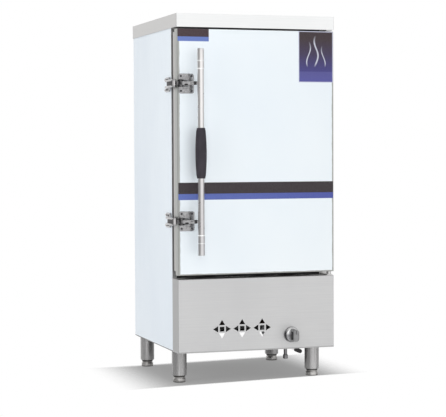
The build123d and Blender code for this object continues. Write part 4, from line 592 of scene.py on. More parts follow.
# Printed coated paper: dark ink with a soft gloss, curled a little, with a pale border and
# three pale wisps of steam over a lighter foot. Its print dots are drawn 0.6 mm wide.
WISPS = (
    (-0.42, 0.4, 0.70, 0.045),
    (0.02, 2.1, 0.82, 0.060),
    (0.44, 3.9, 0.62, 0.040),
)
material, tree = new_tree("leaflet print")
place = add(tree, "TexCoord", out="Object")
across = add(tree, "SeparateXYZ", {"Vector": place}, "X")
height = add(tree, "SeparateXYZ", {"Vector": place}, "Z")
middle_x = (to_frame @ Vector((LEAFLET_RIGHT - LEAFLET_WIDTH / 2, 0, 0))).x
half_x = 0.0005 * LEAFLET_WIDTH
foot_z = 0.001 * (PRINT_HEAD - LEAFLET_HEIGHT)
side = add(
    tree,
    "MapRange",
    {
        "Value": across,
        "From Min": middle_x - half_x,
        "From Max": middle_x + half_x,
        "To Min": -1.0,
        "To Max": 1.0,
    },
)
rise = add(tree, "MapRange", {"Value": height, "From Min": foot_z, "From Max": 0.001 * PRINT_HEAD})
ink = add(
    tree,
    "ValToRGB",
    {"Fac": rise},
    stops=(
        (0.0, linear("3A3A8C")),
        (0.22, linear("38347C")),
        (0.55, linear("33264C")),
        (0.85, linear("2E1B22")),
        (1.0, linear("2B1820")),
    ),
)
for shift, phase, reach, thick in WISPS:
    angle = add(tree, "Math", {0: rise, 1: 11.0, 2: phase}, operation="MULTIPLY_ADD")
    swing = add(tree, "Math", {0: angle}, operation="SINE")
    line = add(tree, "Math", {0: swing, 1: 0.11, 2: shift}, operation="MULTIPLY_ADD")
    off = add(tree, "Math", {0: side, 1: line}, operation="SUBTRACT")
    off = add(tree, "Math", {0: off}, operation="ABSOLUTE")
    wisp = add(tree, "MapRange", {"Value": off, "From Min": thick, "From Max": thick * 0.35})
    low = add(tree, "MapRange", {"Value": rise, "From Min": 0.30, "From Max": 0.38})
    top = add(tree, "MapRange", {"Value": rise, "From Min": reach + 0.10, "From Max": reach - 0.06})
    wisp = add(tree, "Math", {0: wisp, 1: low}, operation="MULTIPLY")
    wisp = add(tree, "Math", {0: wisp, 1: top}, operation="MULTIPLY")
    wisp = add(tree, "Math", {0: wisp, 1: 0.85}, operation="MULTIPLY")
    ink = add(tree, "Mix", {0: wisp, 6: ink, 7: linear("D9DCEB")}, 2, data_type="RGBA")
panel = add(
    tree,
    "MapRange",
    {
        "Value": height,
        "From Min": foot_z + 0.001 * LEAFLET_PANEL,
        "From Max": foot_z + 0.001 * LEAFLET_PANEL - 0.0008,
    },
)
panel = add(tree, "Math", {0: panel, 1: 0.16}, operation="MULTIPLY")
ink = add(tree, "Mix", {0: panel, 6: ink, 7: linear("8E8FD6")}, 2, data_type="RGBA")
inward = add(tree, "Math", {0: side}, operation="ABSOLUTE")
sides = add(
    tree,
    "MapRange",
    {
        "Value": inward,
        "From Min": 1 - 2 * LEAFLET_BORDER / LEAFLET_WIDTH,
        "From Max": 1.0 - 1.4 * LEAFLET_BORDER / LEAFLET_WIDTH,
    },
)
upper = add(
    tree,
    "MapRange",
    {
        "Value": rise,
        "From Min": 1 - LEAFLET_BORDER / LEAFLET_HEIGHT,
        "From Max": 1 - 0.7 * LEAFLET_BORDER / LEAFLET_HEIGHT,
    },
)
lower = add(
    tree,
    "MapRange",
    {
        "Value": rise,
        "From Min": LEAFLET_BORDER / LEAFLET_HEIGHT,
        "From Max": 0.7 * LEAFLET_BORDER / LEAFLET_HEIGHT,
    },
)
border = add(tree, "Math", {0: sides, 1: upper}, operation="MAXIMUM")
border = add(tree, "Math", {0: border, 1: lower}, operation="MAXIMUM")
ink = add(tree, "Mix", {0: border, 6: ink, 7: linear("C9CBE0")}, 2, data_type="RGBA")
dots = add(tree, "TexNoise", {"Vector": place, "Scale": 1000 / 0.625, "Detail": 2.0, "Roughness": 0.5})
share = add(
    tree, "MapRange", {"Value": dots, "From Min": 0.35, "From Max": 0.65, "To Min": 0.0, "To Max": 0.05}
)
ink = add(tree, "Mix", {0: share, 6: ink, 7: linear("FFFFFF")}, 2, data_type="RGBA")
stretched = add(tree, "Mapping", {"Vector": place, "Scale": per_metre(111, 111, 143)})
curl = add(tree, "TexNoise", {"Vector": stretched, "Scale": 1.0, "Detail": 2.0, "Roughness": 0.5})
relief = add(tree, "Bump", {"Height": curl, "Strength": 0.2, "Distance": 0.0015})
finish = {"Base Color": ink, "Roughness": 0.42, "Specular IOR Level": 0.36, "Normal": relief}
add(tree, "OutputMaterial", {"Surface": add(tree, "BsdfPrincipled", finish)})
left = LEAFLET_RIGHT - LEAFLET_WIDTH
printed_sheet("door_leaflet", material, left, LEAFLET_RIGHT, PRINT_HEAD - LEAFLET_HEIGHT, PRINT_HEAD)

# The door gasket is a black silicone moulding in a frame round the door's back: a foot held in
# the pan, a narrower neck, and a round lip that presses on the cabinet's face.
GASKET_X = 333.0
GASKET_WIDTH = 13.0
GASKET_FOOT_Z = 484.0
GASKET_HEAD_Z = 1473.0
GASKET_FRONT = 62.1
GASKET_BACK = 86.7
GASKET_NECK = (70.5, 77.0)
GASKET_NECK_INSET = 4.0


def frame_ring(x, foot, head, width, front, back, edge):
    """A rectangular frame of one section, lying against the door."""
    shape = bmesh.new()
    loops = []
    for inset in (0, width):
        made = bmesh.ops.create_grid(shape, x_segments=1, y_segments=1, size=0.5)["verts"]
        scale = (2 * (x - inset), head - foot - 2 * inset, 1)
        bmesh.ops.scale(shape, vec=scale, verts=made)
        loops += list({line for corner in made for line in corner.link_edges})
    bmesh.ops.delete(shape, geom=shape.faces[:], context="FACES_ONLY")
    bmesh.ops.bridge_loops(shape, edges=loops)
    lifted = bmesh.ops.extrude_face_region(shape, geom=shape.faces[:])["geom"]
    upper = [item for item in lifted if isinstance(item, bmesh.types.BMVert)]
    bmesh.ops.translate(shape, verts=upper, vec=(0, 0, back - front))
    bmesh.ops.recalc_face_normals(shape, faces=shape.faces)
    long_edges = [line for line in shape.edges if line.calc_length() > 2 * width]
    bevel_edges(shape, long_edges, edge)
    middle = Matrix.Translation((0, back, (foot + head) / 2))
    bmesh.ops.transform(shape, matrix=middle @ to_front, verts=shape.verts)
    return shape


# Silicone rubber: soft, black and matt, with a faint sheen and patches of dust. Its pores are
# drawn 1 mm wide so that they show.
material, tree = new_tree("black silicone")
place = add(tree, "TexCoord", out="Object")
dust = add(tree, "TexNoise", {"Vector": place, "Scale": 1000 / 16.7, "Detail": 4.0, "Roughness": 0.6})
pores = add(tree, "TexNoise", {"Vector": place, "Scale": 1000 / 1.11, "Detail": 2.0, "Roughness": 0.5})
share = add(tree, "MapRange", {"Value": dust, "From Min": 0.3, "From Max": 0.7})
tone = add(tree, "Mix", {0: share, 6: linear("161416"), 7: linear("262325")}, 2, data_type="RGBA")
dull = add(
    tree, "MapRange", {"Value": dust, "From Min": 0.3, "From Max": 0.7, "To Min": 0.5, "To Max": 0.68}
)
relief = add(tree, "Bump", {"Height": pores, "Strength": 0.1, "Distance": 0.0002})
finish = {"Base Color": tone, "Roughness": dull, "Normal": relief, "Sheen Weight": 0.15}
add(tree, "OutputMaterial", {"Surface": add(tree, "BsdfPrincipled", finish)})
shape = bmesh.new()
neck_front, neck_back = GASKET_NECK
for inset, front, back, edge in (
    (0, GASKET_FRONT, neck_front, 1.2),
    (GASKET_NECK_INSET, neck_front - 0.8, neck_back + 0.8, 0.5),
    (0, neck_back, GASKET_BACK, 3.2),
):
    foot = GASKET_FOOT_Z + inset
    head = GASKET_HEAD_Z - inset
    ring = frame_ring(GASKET_X - inset, foot, head, GASKET_WIDTH - 2 * inset, front, back, edge)
    add_part(shape, ring)
make_piece("gasket_moulding", shape, material, "silicone", "door", "door_gasket")

# Two soft strips of the same silicone are fitted to the door. One hangs under its foot and has
# gone wavy in the steam, and the other closes the gap over its head.
SEAL_LEFT = -341.0
SEAL_RIGHT = 296.0
SEAL_FRONT = 38.0
SEAL_THICK = 2.6
SEAL_STEPS = 72


def seal_strip(foot, head):
    shape = bmesh.new()
    strip = rounded_plate(SEAL_RIGHT - SEAL_LEFT, head - foot, 1.0, SEAL_THICK, 0.8)
    spot = Matrix.Translation(((SEAL_LEFT + SEAL_RIGHT) / 2, SEAL_FRONT + SEAL_THICK, (head + foot) / 2))
    add_part(shape, strip, spot @ to_front)
    return shape


foot_strip = seal_strip(449.4, 462.4)
foot_low = min(corner.co.z for corner in foot_strip.verts)
foot_high = max(corner.co.z for corner in foot_strip.verts)
for i in range(1, SEAL_STEPS):
    cut = Vector((SEAL_LEFT + (SEAL_RIGHT - SEAL_LEFT) * i / SEAL_STEPS, 0, 0))
    whole = foot_strip.verts[:] + foot_strip.edges[:] + foot_strip.faces[:]
    bmesh.ops.bisect_plane(foot_strip, geom=whole, plane_co=cut, plane_no=(1, 0, 0))
for corner in foot_strip.verts:
    along = (corner.co.x - SEAL_LEFT) / (SEAL_RIGHT - SEAL_LEFT)
    slack = (foot_high - corner.co.z) / (foot_high - foot_low)
    sway = 0.5 + 0.5 * math.sin(21 * along + 1.9 * math.sin(9 * along))
    corner.co.z += slack * 2.6 * sway
    corner.co.y += slack * 6.0 * (0.5 + 0.5 * math.sin(33 * along + 1.4))
make_piece("foot_seal_strip", foot_strip, material, "silicone", "door")
make_piece("head_seal_strip", seal_strip(1486.6, 1492.6), material, "silicone", "door")

# The door hangs on two pins that stand on folded steel brackets, in plated bushes pressed
# into the door's right edge. Zinc plate makes them a pale grey with a mottle of 4 mm.
bracket_steel = brushed_steel("bracket steel", "E2E2E1", "CBCAC9", (3.85, 3.85, 3.85), 0.34, 0.8)
dress(bracket_steel, "hinge_brackets", "hinge_pins", "hinge_bushes")

# The gas valve, the collar that the knob pushes, the float valve and the pilot burner are turned
# from bare brass. It is a warm yellow metal, browner and duller in patches. The tool's marks
# are drawn 2 mm apart, coarser than real ones, so that they show.
material, tree = new_tree("turned brass")
place = add(tree, "TexCoord", out="Object")
marks = add(tree, "TexNoise", {"Vector": place, "Scale": 1000 / 2, "Detail": 3.0, "Roughness": 0.6})
stain = add(tree, "TexNoise", {"Vector": place, "Scale": 1000 / 28.6, "Detail": 4.0, "Roughness": 0.6})
share = add(tree, "MapRange", {"Value": stain, "From Min": 0.35, "From Max": 0.7})
tone = add(tree, "Mix", {0: share, 6: linear("A88346"), 7: linear("D2AE6A")}, 2, data_type="RGBA")
dull = add(
    tree, "MapRange", {"Value": stain, "From Min": 0.3, "From Max": 0.7, "To Min": 0.24, "To Max": 0.42}
)
relief = add(tree, "Bump", {"Height": marks, "Strength": 0.15, "Distance": 0.0003})
finish = {"Base Color": tone, "Metallic": 1.0, "Roughness": dull, "Normal": relief}
add(tree, "OutputMaterial", {"Surface": add(tree, "BsdfPrincipled", finish)})
dress(material, "gas_valve_body", "push_collar", "float_valve", "pilot_burner")

# The handle is a satin stainless tube that turns on the two latches. A closed sleeve with
# a ring line in it is pushed over each end.
TUBE_X = -264.0
TUBE_Y = -60.0
TUBE_R = 13.5
TUBE_INNER_R = 12.0
TUBE_FOOT = 550.0
TUBE_HEAD = 1402.0
SLEEVE_R = 14.3
SLEEVE_LENGTH = 85.0
SLEEVE_LINE = 50.0
# Between these heights the tube and its sleeves are painted paler upwards, as a painted highlight.
HIGHLIGHT_FOOT = 750.0
HIGHLIGHT_HEAD = 1150.0
HANDLE_HIGHLIGHT = "F3F1F0"


def turned(profile, steps=48, ring=False):
    """A round piece about Z from its outline of radii and heights; a ring has a hollow middle."""
    shape = bmesh.new()
    points = [shape.verts.new((radius, 0, height)) for radius, height in profile]
    pairs = list(zip(points, points[1:]))
    if ring:
        pairs.append((points[-1], points[0]))
    lines = [shape.edges.new(pair) for pair in pairs]
    bmesh.ops.spin(
        shape,
        geom=points + lines,
        cent=(0, 0, 0),
        axis=(0, 0, 1),
        angle=math.tau,
        steps=steps,
        use_merge=True,
    )
    bmesh.ops.remove_doubles(shape, verts=shape.verts, dist=0.0005)
    bmesh.ops.recalc_face_normals(shape, faces=shape.faces)
    return shape


# Satin or polished steel and chrome: they mirror the room, blurred by fine lines and a few dull
# spots. Real lines are hundredths of a millimetre wide, and are drawn 1 to 5 mm wide to show.
def polished_steel(name, tone, dark, roughness, grain, head=None):
    """Bright steel or chrome, which may be painted paler towards the handle's head as a painted highlight.
    """
    material, tree = new_tree(name)
    place = add(tree, "TexCoord", out="Object")
    stretched = add(tree, "Mapping", {"Vector": place, "Scale": per_metre(*grain)})
    lines = add(tree, "TexNoise", {"Vector": stretched, "Scale": 1.0, "Detail": 3.0, "Roughness": 0.6})
    spots = add(tree, "TexNoise", {"Vector": place, "Scale": 1000 / 22.2, "Detail": 4.0, "Roughness": 0.6})
    share = add(tree, "MapRange", {"Value": spots, "From Min": 0.3, "From Max": 0.75})
    colour = add(tree, "Mix", {0: share, 6: linear(dark), 7: linear(tone)}, 2, data_type="RGBA")
    if head:
        height = add(tree, "SeparateXYZ", {"Vector": place}, "Z")
        sockets = {"Value": height, "From Min": 0.001 * HIGHLIGHT_FOOT, "From Max": 0.001 * HIGHLIGHT_HEAD}
        share = add(tree, "MapRange", sockets)
        colour = add(tree, "Mix", {0: share, 6: colour, 7: linear(head)}, 2, data_type="RGBA")
    dull = add(
        tree,
        "MapRange",
        {"Value": spots, "From Min": 0.3, "From Max": 0.7, "To Min": roughness, "To Max": roughness + 0.08},
    )
    relief = add(tree, "Bump", {"Height": lines, "Strength": 0.05, "Distance": 0.0001})
    finish = {"Base Color": colour, "Metallic": 1.0, "Roughness": dull, "Normal": relief}
    add(tree, "OutputMaterial", {"Surface": add(tree, "BsdfPrincipled", finish)})
    return material


tube_steel = polished_steel("satin tube steel", "E2E0E0", "D5D3D4", 0.26, (5, 5, 1.11))
handle_steel = polished_steel("satin handle steel", "DEDCDC", "D1CFD0", 0.26, (5, 5, 1.11), HANDLE_HIGHLIGHT)
chrome = polished_steel("chromed casting", "C6C6C7", "A09FA0", 0.15, (5.56, 5.56, 5.56))

handle_at = Matrix.Translation((TUBE_X, TUBE_Y, 0))
shape = bmesh.new()
wall = (
    (TUBE_INNER_R, TUBE_FOOT + 1),
    (TUBE_R, TUBE_FOOT + 1),
    (TUBE_R, TUBE_HEAD - 1),
    (TUBE_INNER_R, TUBE_HEAD - 1),
)
add_part(shape, turned(wall, ring=True), handle_at)
make_piece("handle_bar", shape, handle_steel, "chrome", "handle", "handle_tube")

# Turned stainless steel: as bright as the tube but plainer, with two white rings painted on as
# painted highlights at the turned line and the sleeve's mouth, and painted paler towards the head.
material, tree = new_tree("turned sleeve steel")
place = add(tree, "TexCoord", out="Object")
height = add(tree, "SeparateXYZ", {"Vector": place}, "Z")
spots = add(tree, "TexNoise", {"Vector": place, "Scale": 1000 / 22.2, "Detail": 4.0, "Roughness": 0.6})
half = 0.0005 * (TUBE_HEAD - TUBE_FOOT)
reach = add(tree, "Math", {0: height, 1: 0.001 * TUBE_FOOT + half}, operation="SUBTRACT")
reach = add(tree, "Math", {0: reach}, operation="ABSOLUTE")
rings = None
# Painted highlights: white, barely metallic rings.
for ring_at, wide in ((SLEEVE_LINE, 1.3), (SLEEVE_LENGTH - 2.0, 2.4)):
    off = add(tree, "Math", {0: reach, 1: half - 0.001 * ring_at}, operation="SUBTRACT")
    off = add(tree, "Math", {0: off}, operation="ABSOLUTE")
    ring = add(tree, "MapRange", {"Value": off, "From Min": 0.001 * wide, "From Max": 0.0007 * wide})
    rings = add(tree, "Math", {0: rings, 1: ring}, operation="MAXIMUM") if rings else ring
share = add(tree, "MapRange", {"Value": spots, "From Min": 0.3, "From Max": 0.75})
satin = add(tree, "Mix", {0: share, 6: linear("D2D1D2"), 7: linear("DEDDDE")}, 2, data_type="RGBA")
sockets = {"Value": height, "From Min": 0.001 * HIGHLIGHT_FOOT, "From Max": 0.001 * HIGHLIGHT_HEAD}
share = add(tree, "MapRange", sockets)
satin = add(tree, "Mix", {0: share, 6: satin, 7: linear(HANDLE_HIGHLIGHT)}, 2, data_type="RGBA")
colour = add(tree, "Mix", {0: rings, 6: satin, 7: linear("FFFFFF")}, 2, data_type="RGBA")
metallic = add(
    tree, "MapRange", {"Value": rings, "From Min": 0.0, "From Max": 1.0, "To Min": 1.0, "To Max": 0.1}
)
dull = add(
    tree, "MapRange", {"Value": spots, "From Min": 0.3, "From Max": 0.7, "To Min": 0.28, "To Max": 0.36}
)
finish = {"Base Color": colour, "Metallic": metallic, "Roughness": dull}
add(tree, "OutputMaterial", {"Surface": add(tree, "BsdfPrincipled", finish)})
sleeve_steel = material

sleeve = (
    (0, 0),
    (SLEEVE_R - 2.0, 0),
    (SLEEVE_R - 0.6, 0.6),
    (SLEEVE_R, 2.0),
    (SLEEVE_R, SLEEVE_LINE - 1.3),
    (SLEEVE_R - 0.5, SLEEVE_LINE - 0.8),
    (SLEEVE_R - 0.5, SLEEVE_LINE + 0.8),
    (SLEEVE_R, SLEEVE_LINE + 1.3),
    (SLEEVE_R, SLEEVE_LENGTH - 0.5),
    (SLEEVE_R - 0.4, SLEEVE_LENGTH),
    (TUBE_R, SLEEVE_LENGTH),
    (TUBE_R, 1.0),
    (0, 1.0),
)
shape = bmesh.new()
add_part(shape, turned(sleeve), Matrix.Translation((TUBE_X, TUBE_Y, TUBE_FOOT)))
upper = Matrix.Translation((TUBE_X, TUBE_Y, TUBE_HEAD)) @ Matrix.Rotation(math.pi, 4, "X")
add_part(shape, turned(sleeve), upper)
make_piece("handle_end_sleeves", shape, sleeve_steel, "chrome", "handle", "handle_sleeves")

# The grip is a moulded black rubber barrel with fine flutes along it, drawn in to a
# small lip at both ends.
GRIP_FOOT = 868.0
GRIP_HEAD = 1076.0
GRIP_END_R = 19.5
GRIP_MIDDLE_R = 23.5
GRIP_NECK = 12.0
GRIP_FLUTES = 24
FLUTE_DEPTH = 0.7

middle = (GRIP_FOOT + GRIP_HEAD) / 2
half = middle - GRIP_FOOT - GRIP_NECK
lip = ((TUBE_R, 0), (TUBE_R + 3, 0), (TUBE_R + 3.8, 1), (GRIP_END_R - 1.5, 7))
profile = [(radius, GRIP_FOOT + height) for radius, height in lip]
for i in range(17):
    along = -1 + i / 8
    profile.append((GRIP_MIDDLE_R - (GRIP_MIDDLE_R - GRIP_END_R) * along ** 2, middle + along * half))
profile += [(radius, GRIP_HEAD - height) for radius, height in reversed(lip)]
shape = turned(profile, steps=4 * GRIP_FLUTES, ring=True)
for corner in shape.verts:
    column = round(math.atan2(corner.co.y, corner.co.x) / math.tau * 4 * GRIP_FLUTES) % 4
    radius = math.hypot(corner.co.x, corner.co.y)
    if column == 0 and radius > GRIP_END_R - 0.1:
        corner.co.xy *= (radius - FLUTE_DEPTH) / radius
bmesh.ops.transform(shape, matrix=handle_at, verts=shape.verts)

# Moulded rubber: matt and nearly black with a violet cast, rubbed paler in patches. Its pores
# are drawn 0.9 mm wide so that they show.
material, tree = new_tree("black grip rubber")
place = add(tree, "TexCoord", out="Object")
pores = add(tree, "TexNoise", {"Vector": place, "Scale": 1000 / 0.909, "Detail": 2.0, "Roughness": 0.5})
stretched = add(tree, "Mapping", {"Vector": place, "Scale": per_metre(33.3, 33.3, 71.4)})
wear = add(tree, "TexNoise", {"Vector": stretched, "Scale": 1.0, "Detail": 4.0, "Roughness": 0.6})
share = add(tree, "MapRange", {"Value": wear, "From Min": 0.35, "From Max": 0.7})
tone = add(tree, "Mix", {0: share, 6: linear("26222A"), 7: linear("3A343D")}, 2, data_type="RGBA")
dull = add(
    tree, "MapRange", {"Value": wear, "From Min": 0.3, "From Max": 0.7, "To Min": 0.5, "To Max": 0.66}
)
relief = add(tree, "Bump", {"Height": pores, "Strength": 0.25, "Distance": 0.0003})
finish = {"Base Color": tone, "Roughness": dull, "Normal": relief}
add(tree, "OutputMaterial", {"Surface": add(tree, "BsdfPrincipled", finish)})
make_piece("grip_barrel", shape, material, "black_grip", "handle", "handle_grip")

# Two latches hold the door. Each has a chromed cast base, screwed to the door at its four
# corners, with two cheeks that carry the pivot pin and are painted nearly black round it as painted shade.
LATCH_HEIGHTS = (690.0, 1260.0)
BASE_LEFT = -342.0
BASE_WIDTH = 66.0
BASE_HEIGHT = 82.0
BASE_CORNER = 8.0
BASE_THICK = 3.0
CHEEK_NEAR = 9.5
CHEEK_FAR = 15.5
PIVOT_X = -341.0
PIVOT_Y = -30.0
HUB_R = 11.0
TOE_X = -306.0
TOE_Y = -9.0
SCREW_INSET = 10.0
CHEEK = (
    (PIVOT_X, PIVOT_Y, HUB_R),
    (TOE_X, TOE_Y, 6),
    (BASE_LEFT + 1, -BASE_THICK, 1),
    (-301, -BASE_THICK, 1),
)


def linked(rounds, low, high, edge):
    """A solid between two heights whose outline wraps a few circles of X, Y and radius."""
    shape = bmesh.new()
    for x, y, radius in rounds:
        for z in (low, high):
            at = Matrix.Translation((x, y, z))
            bmesh.ops.create_circle(shape, segments=32, radius=radius, matrix=at)
    hull = bmesh.ops.convex_hull(shape, input=shape.verts[:])
    spare = hull["geom_interior"] + hull["geom_unused"]
    inside = [item for item in spare if isinstance(item, bmesh.types.BMVert)]
    bmesh.ops.delete(shape, geom=list(set(inside)), context="VERTS")
    bmesh.ops.delete(shape, geom=[line for line in shape.edges if not line.link_faces], context="EDGES")
    bmesh.ops.dissolve_limit(shape, angle_limit=math.radians(1), verts=shape.verts[:], edges=shape.edges[:])
    bmesh.ops.recalc_face_normals(shape, faces=shape.faces)
    if edge:
        bevel_edges(shape, [line for line in shape.edges if line.calc_face_angle(0) > 0.8], edge)
    return shape


def screw(radius, height):
    """A round screw head with a socket, on its back at Z 0."""
    return turned(
        (
            (0, 0.35 * height),
            (0.4 * radius, 0.35 * height),
            (0.45 * radius, height),
            (0.75 * radius, 0.9 * height),
            (0.95 * radius, 0.5 * height),
            (radius, 0.1 * height),
            (radius, 0),
            (0, 0),
        ),
        steps=24,
    )


shape = bmesh.new()
screws = bmesh.new()
for z in LATCH_HEIGHTS:
    middle = Matrix.Translation((BASE_LEFT + BASE_WIDTH / 2, 0, z)) @ to_front
    add_part(shape, rounded_plate(BASE_WIDTH, BASE_HEIGHT, BASE_CORNER, BASE_THICK, 1.2), middle)
    for side in (-1, 1):
        rib = rounded_plate(40, 7, 3.4, 1.4, 0.9)
        add_part(shape, rib, Matrix.Translation((BASE_LEFT + 36, 1 - BASE_THICK, z + side * 24)) @ to_front)
        low, high = sorted((z + side * CHEEK_NEAR, z + side * CHEEK_FAR))
        add_part(shape, linked(CHEEK, low, high, 1.0))
        for x in (BASE_LEFT + SCREW_INSET, BASE_LEFT + BASE_WIDTH - SCREW_INSET):
            at = Matrix.Translation((x, -BASE_THICK, z + side * (BASE_HEIGHT / 2 - SCREW_INSET)))
            add_part(screws, screw(4.8, 2.4), at @ to_front)
            shank = turned(((0, 0), (2.5, 0), (2.5, 9), (1.5, 12), (0, 12)), steps=12)
            add_part(screws, shank, at @ Matrix.Rotation(-math.pi / 2, 4, "X"))

# Worn chrome on a casting: a grey mirror with dull spots, painted nearly black round the pivot as painted
# shade.
material, tree = new_tree("worn chrome with painted shade")
place = add(tree, "TexCoord", out="Object")
spots = add(tree, "TexNoise", {"Vector": place, "Scale": 1000 / 9.09, "Detail": 4.0, "Roughness": 0.6})
pivot = to_frame @ Vector((PIVOT_X, PIVOT_Y, 0))
flat = add(tree, "Mapping", {"Vector": place, "Location": (-pivot.x, -pivot.y, 0), "Scale": (1, 1, 0)})
away = add(tree, "VectorMath", {0: flat}, "Value", operation="LENGTH")
blot = add(tree, "Math", {0: spots, 1: -0.012, 2: away}, operation="MULTIPLY_ADD")
pivot_shade = add(
    tree, "MapRange", {"Value": blot, "From Min": 0.0085, "From Max": 0.0045, "To Min": 0.0, "To Max": 0.92}
)
share = add(tree, "MapRange", {"Value": spots, "From Min": 0.3, "From Max": 0.75})
bright = add(tree, "Mix", {0: share, 6: linear("8E8D8F"), 7: linear("B6B6B7")}, 2, data_type="RGBA")
colour = add(tree, "Mix", {0: pivot_shade, 6: bright, 7: linear("39383A")}, 2, data_type="RGBA")
dull = add(
    tree, "MapRange", {"Value": pivot_shade, "From Min": 0.0, "From Max": 1.0, "To Min": 0.18, "To Max": 0.42}
)
finish = {"Base Color": colour, "Metallic": 1.0, "Roughness": dull}
add(tree, "OutputMaterial", {"Surface": add(tree, "BsdfPrincipled", finish)})
worn_chrome = material
make_piece("latch_base_castings", shape, worn_chrome, "chrome", "door", "latch_bases")

# Plain steel screws, dull and dark grey. Their dark grey is partly painted shade, for the shaded corners of
# the latch bases.
screw_steel = polished_steel("dull screw steel", "77767A", "4E4D50", 0.34, (5, 5, 5))
make_piece("latch_plate_screws", screws, screw_steel, "chrome", "door", "latch_screws")

# A steel pin goes through each pair of cheeks and the lever between them. It is riveted over
# at both ends and chromed like the castings.
PIVOT_R = 4.0
PIVOT_REACH = 17.5

# A pin's outline, in shares of its radius and of its half length.
pin = ((0, -1), (0.75, -1), (0.9, -0.9), (1, -0.75), (1, 0.75), (0.9, 0.9), (0.75, 1), (0, 1))
shape = bmesh.new()
for z in LATCH_HEIGHTS:
    profile = [(radius * PIVOT_R, height * PIVOT_REACH) for radius, height in pin]
    add_part(shape, turned(profile, steps=24), Matrix.Translation((PIVOT_X, PIVOT_Y, z)))
make_piece("latch_rivets", shape, chrome, "chrome", "door", "latch_pivot_pins")

# The latch lever is a chromed casting between the cheeks. Its nose catches behind the keeper's
# roller, and its arm ends in a socket for the handle's neck. Two black nylon pads, let into its
# edges, keep it from rattling between the cheeks; their black is also painted shade in the slots there.
LEVER_HALF = 7.5
NOSE = (-360.03, -21.13, 4.0)
ARM_TURN = math.atan2(-30, 77)
ARM_END = 49.5
SOCKET_FROM = 36.0
SOCKET_TO = 56.0
PAD_BACK = -2.8
PAD_THICK = 6.2
PAD_TILT = math.radians(5.2)
PAD_TALL = 6.6
PAD_PLACES = ((21.5, 6.0, 11.0), (23.2, -6.0, 14.5))

# Dark nylon with grime on it: matt, and so black that hardly any form shows. On the lever's pads this black
# is also painted shade.
material, tree = new_tree("black nylon and painted shade")
place = add(tree, "TexCoord", out="Object")
grime = add(tree, "TexNoise", {"Vector": place, "Scale": 1000 / 3.33, "Detail": 3.0, "Roughness": 0.6})
share = add(tree, "MapRange", {"Value": grime, "From Min": 0.3, "From Max": 0.7})
colour = add(tree, "Mix", {0: share, 6: linear("0E0D0E"), 7: linear("1C1A1B")}, 2, data_type="RGBA")
relief = add(tree, "Bump", {"Height": grime, "Strength": 0.2, "Distance": 0.0004})
finish = {"Base Color": colour, "Roughness": 0.7, "Normal": relief}
add(tree, "OutputMaterial", {"Surface": add(tree, "BsdfPrincipled", finish)})
black_nylon_and_shade = material

along_arm = Matrix.Translation((PIVOT_X, PIVOT_Y, 0)) @ Matrix.Rotation(ARM_TURN, 4, "Z")
arm_x = PIVOT_X + ARM_END * math.cos(ARM_TURN)
arm_y = PIVOT_Y + ARM_END * math.sin(ARM_TURN)
socket = (
    (0, SOCKET_FROM),
    (6.2, SOCKET_FROM),
    (7.5, SOCKET_FROM + 2),
    (7.5, SOCKET_TO - 4),
    (7.0, SOCKET_TO - 3.4),
    (7.5, SOCKET_TO - 2.8),
    (7.5, SOCKET_TO - 0.8),
    (6.8, SOCKET_TO),
    (0, SOCKET_TO),
)
along = Matrix.Rotation(math.pi / 2, 4, "Y")
shape = bmesh.new()
pads = bmesh.new()
for z in LATCH_HEIGHTS:
    low = z - LEVER_HALF
    high = z + LEVER_HALF
    add_part(shape, linked(((PIVOT_X, PIVOT_Y, HUB_R), NOSE), low, high, 1.6))
    add_part(shape, linked(((PIVOT_X, PIVOT_Y, HUB_R), (arm_x, arm_y, 6.5)), low, high, 1.0))
    lift = Matrix.Translation((0, 0, z))
    add_part(shape, turned(socket, steps=32), lift @ along_arm @ along)
    for reach, up, length in PAD_PLACES:
        spot = Matrix.Translation((reach, PAD_BACK, up)) @ Matrix.Rotation(PAD_TILT, 4, "Z") @ to_front
        add_part(pads, rounded_plate(length, PAD_TALL, 2.2, PAD_THICK, 0.3), lift @ along_arm @ spot)
make_piece("latch_lever_castings", shape, worn_chrome, "chrome", "handle", "latch_levers")
make_piece("latch_lever_pads", pads, black_nylon_and_shade, "dark_plastic", "handle")

# The neck between each lever and the tube goes through a black moulded nut, with a groove
# round it, and then a bright chromed collar.
NUT_TO = 66.0
NECK_TO = 72.6

nut = (
    (0, SOCKET_TO),
    (7.2, SOCKET_TO),
    (8.0, SOCKET_TO + 0.8),
    (8.0, SOCKET_TO + 3.4),
    (7.2, SOCKET_TO + 4.4),
    (7.2, SOCKET_TO + 5.6),
    (8.0, SOCKET_TO + 6.6),
    (8.0, NUT_TO - 0.8),
    (7.2, NUT_TO),
    (0, NUT_TO),
)
collar = (
    (0, NUT_TO),
    (6.0, NUT_TO),
    (6.6, NUT_TO + 0.6),
    (6.6, NECK_TO - 0.4),
    (6.2, NECK_TO),
    (0, NECK_TO),
)

# Moulded plastic: black with a soft gloss, duller where hands have rubbed it. Its moulded grain
# is drawn 0.8 mm wide so that it shows.
material, tree = new_tree("black moulded plastic")
place = add(tree, "TexCoord", out="Object")
grain = add(tree, "TexNoise", {"Vector": place, "Scale": 1000 / 0.833, "Detail": 2.0, "Roughness": 0.5})
rub = add(tree, "TexNoise", {"Vector": place, "Scale": 1000 / 16.7, "Detail": 4.0, "Roughness": 0.6})
share = add(tree, "MapRange", {"Value": rub, "From Min": 0.3, "From Max": 0.75})
colour = add(tree, "Mix", {0: share, 6: linear("1E1D1F"), 7: linear("2C2A2C")}, 2, data_type="RGBA")
dull = add(
    tree, "MapRange", {"Value": rub, "From Min": 0.3, "From Max": 0.7, "To Min": 0.36, "To Max": 0.5}
)
relief = add(tree, "Bump", {"Height": grain, "Strength": 0.2, "Distance": 0.0002})
finish = {"Base Color": colour, "Roughness": dull, "Normal": relief}
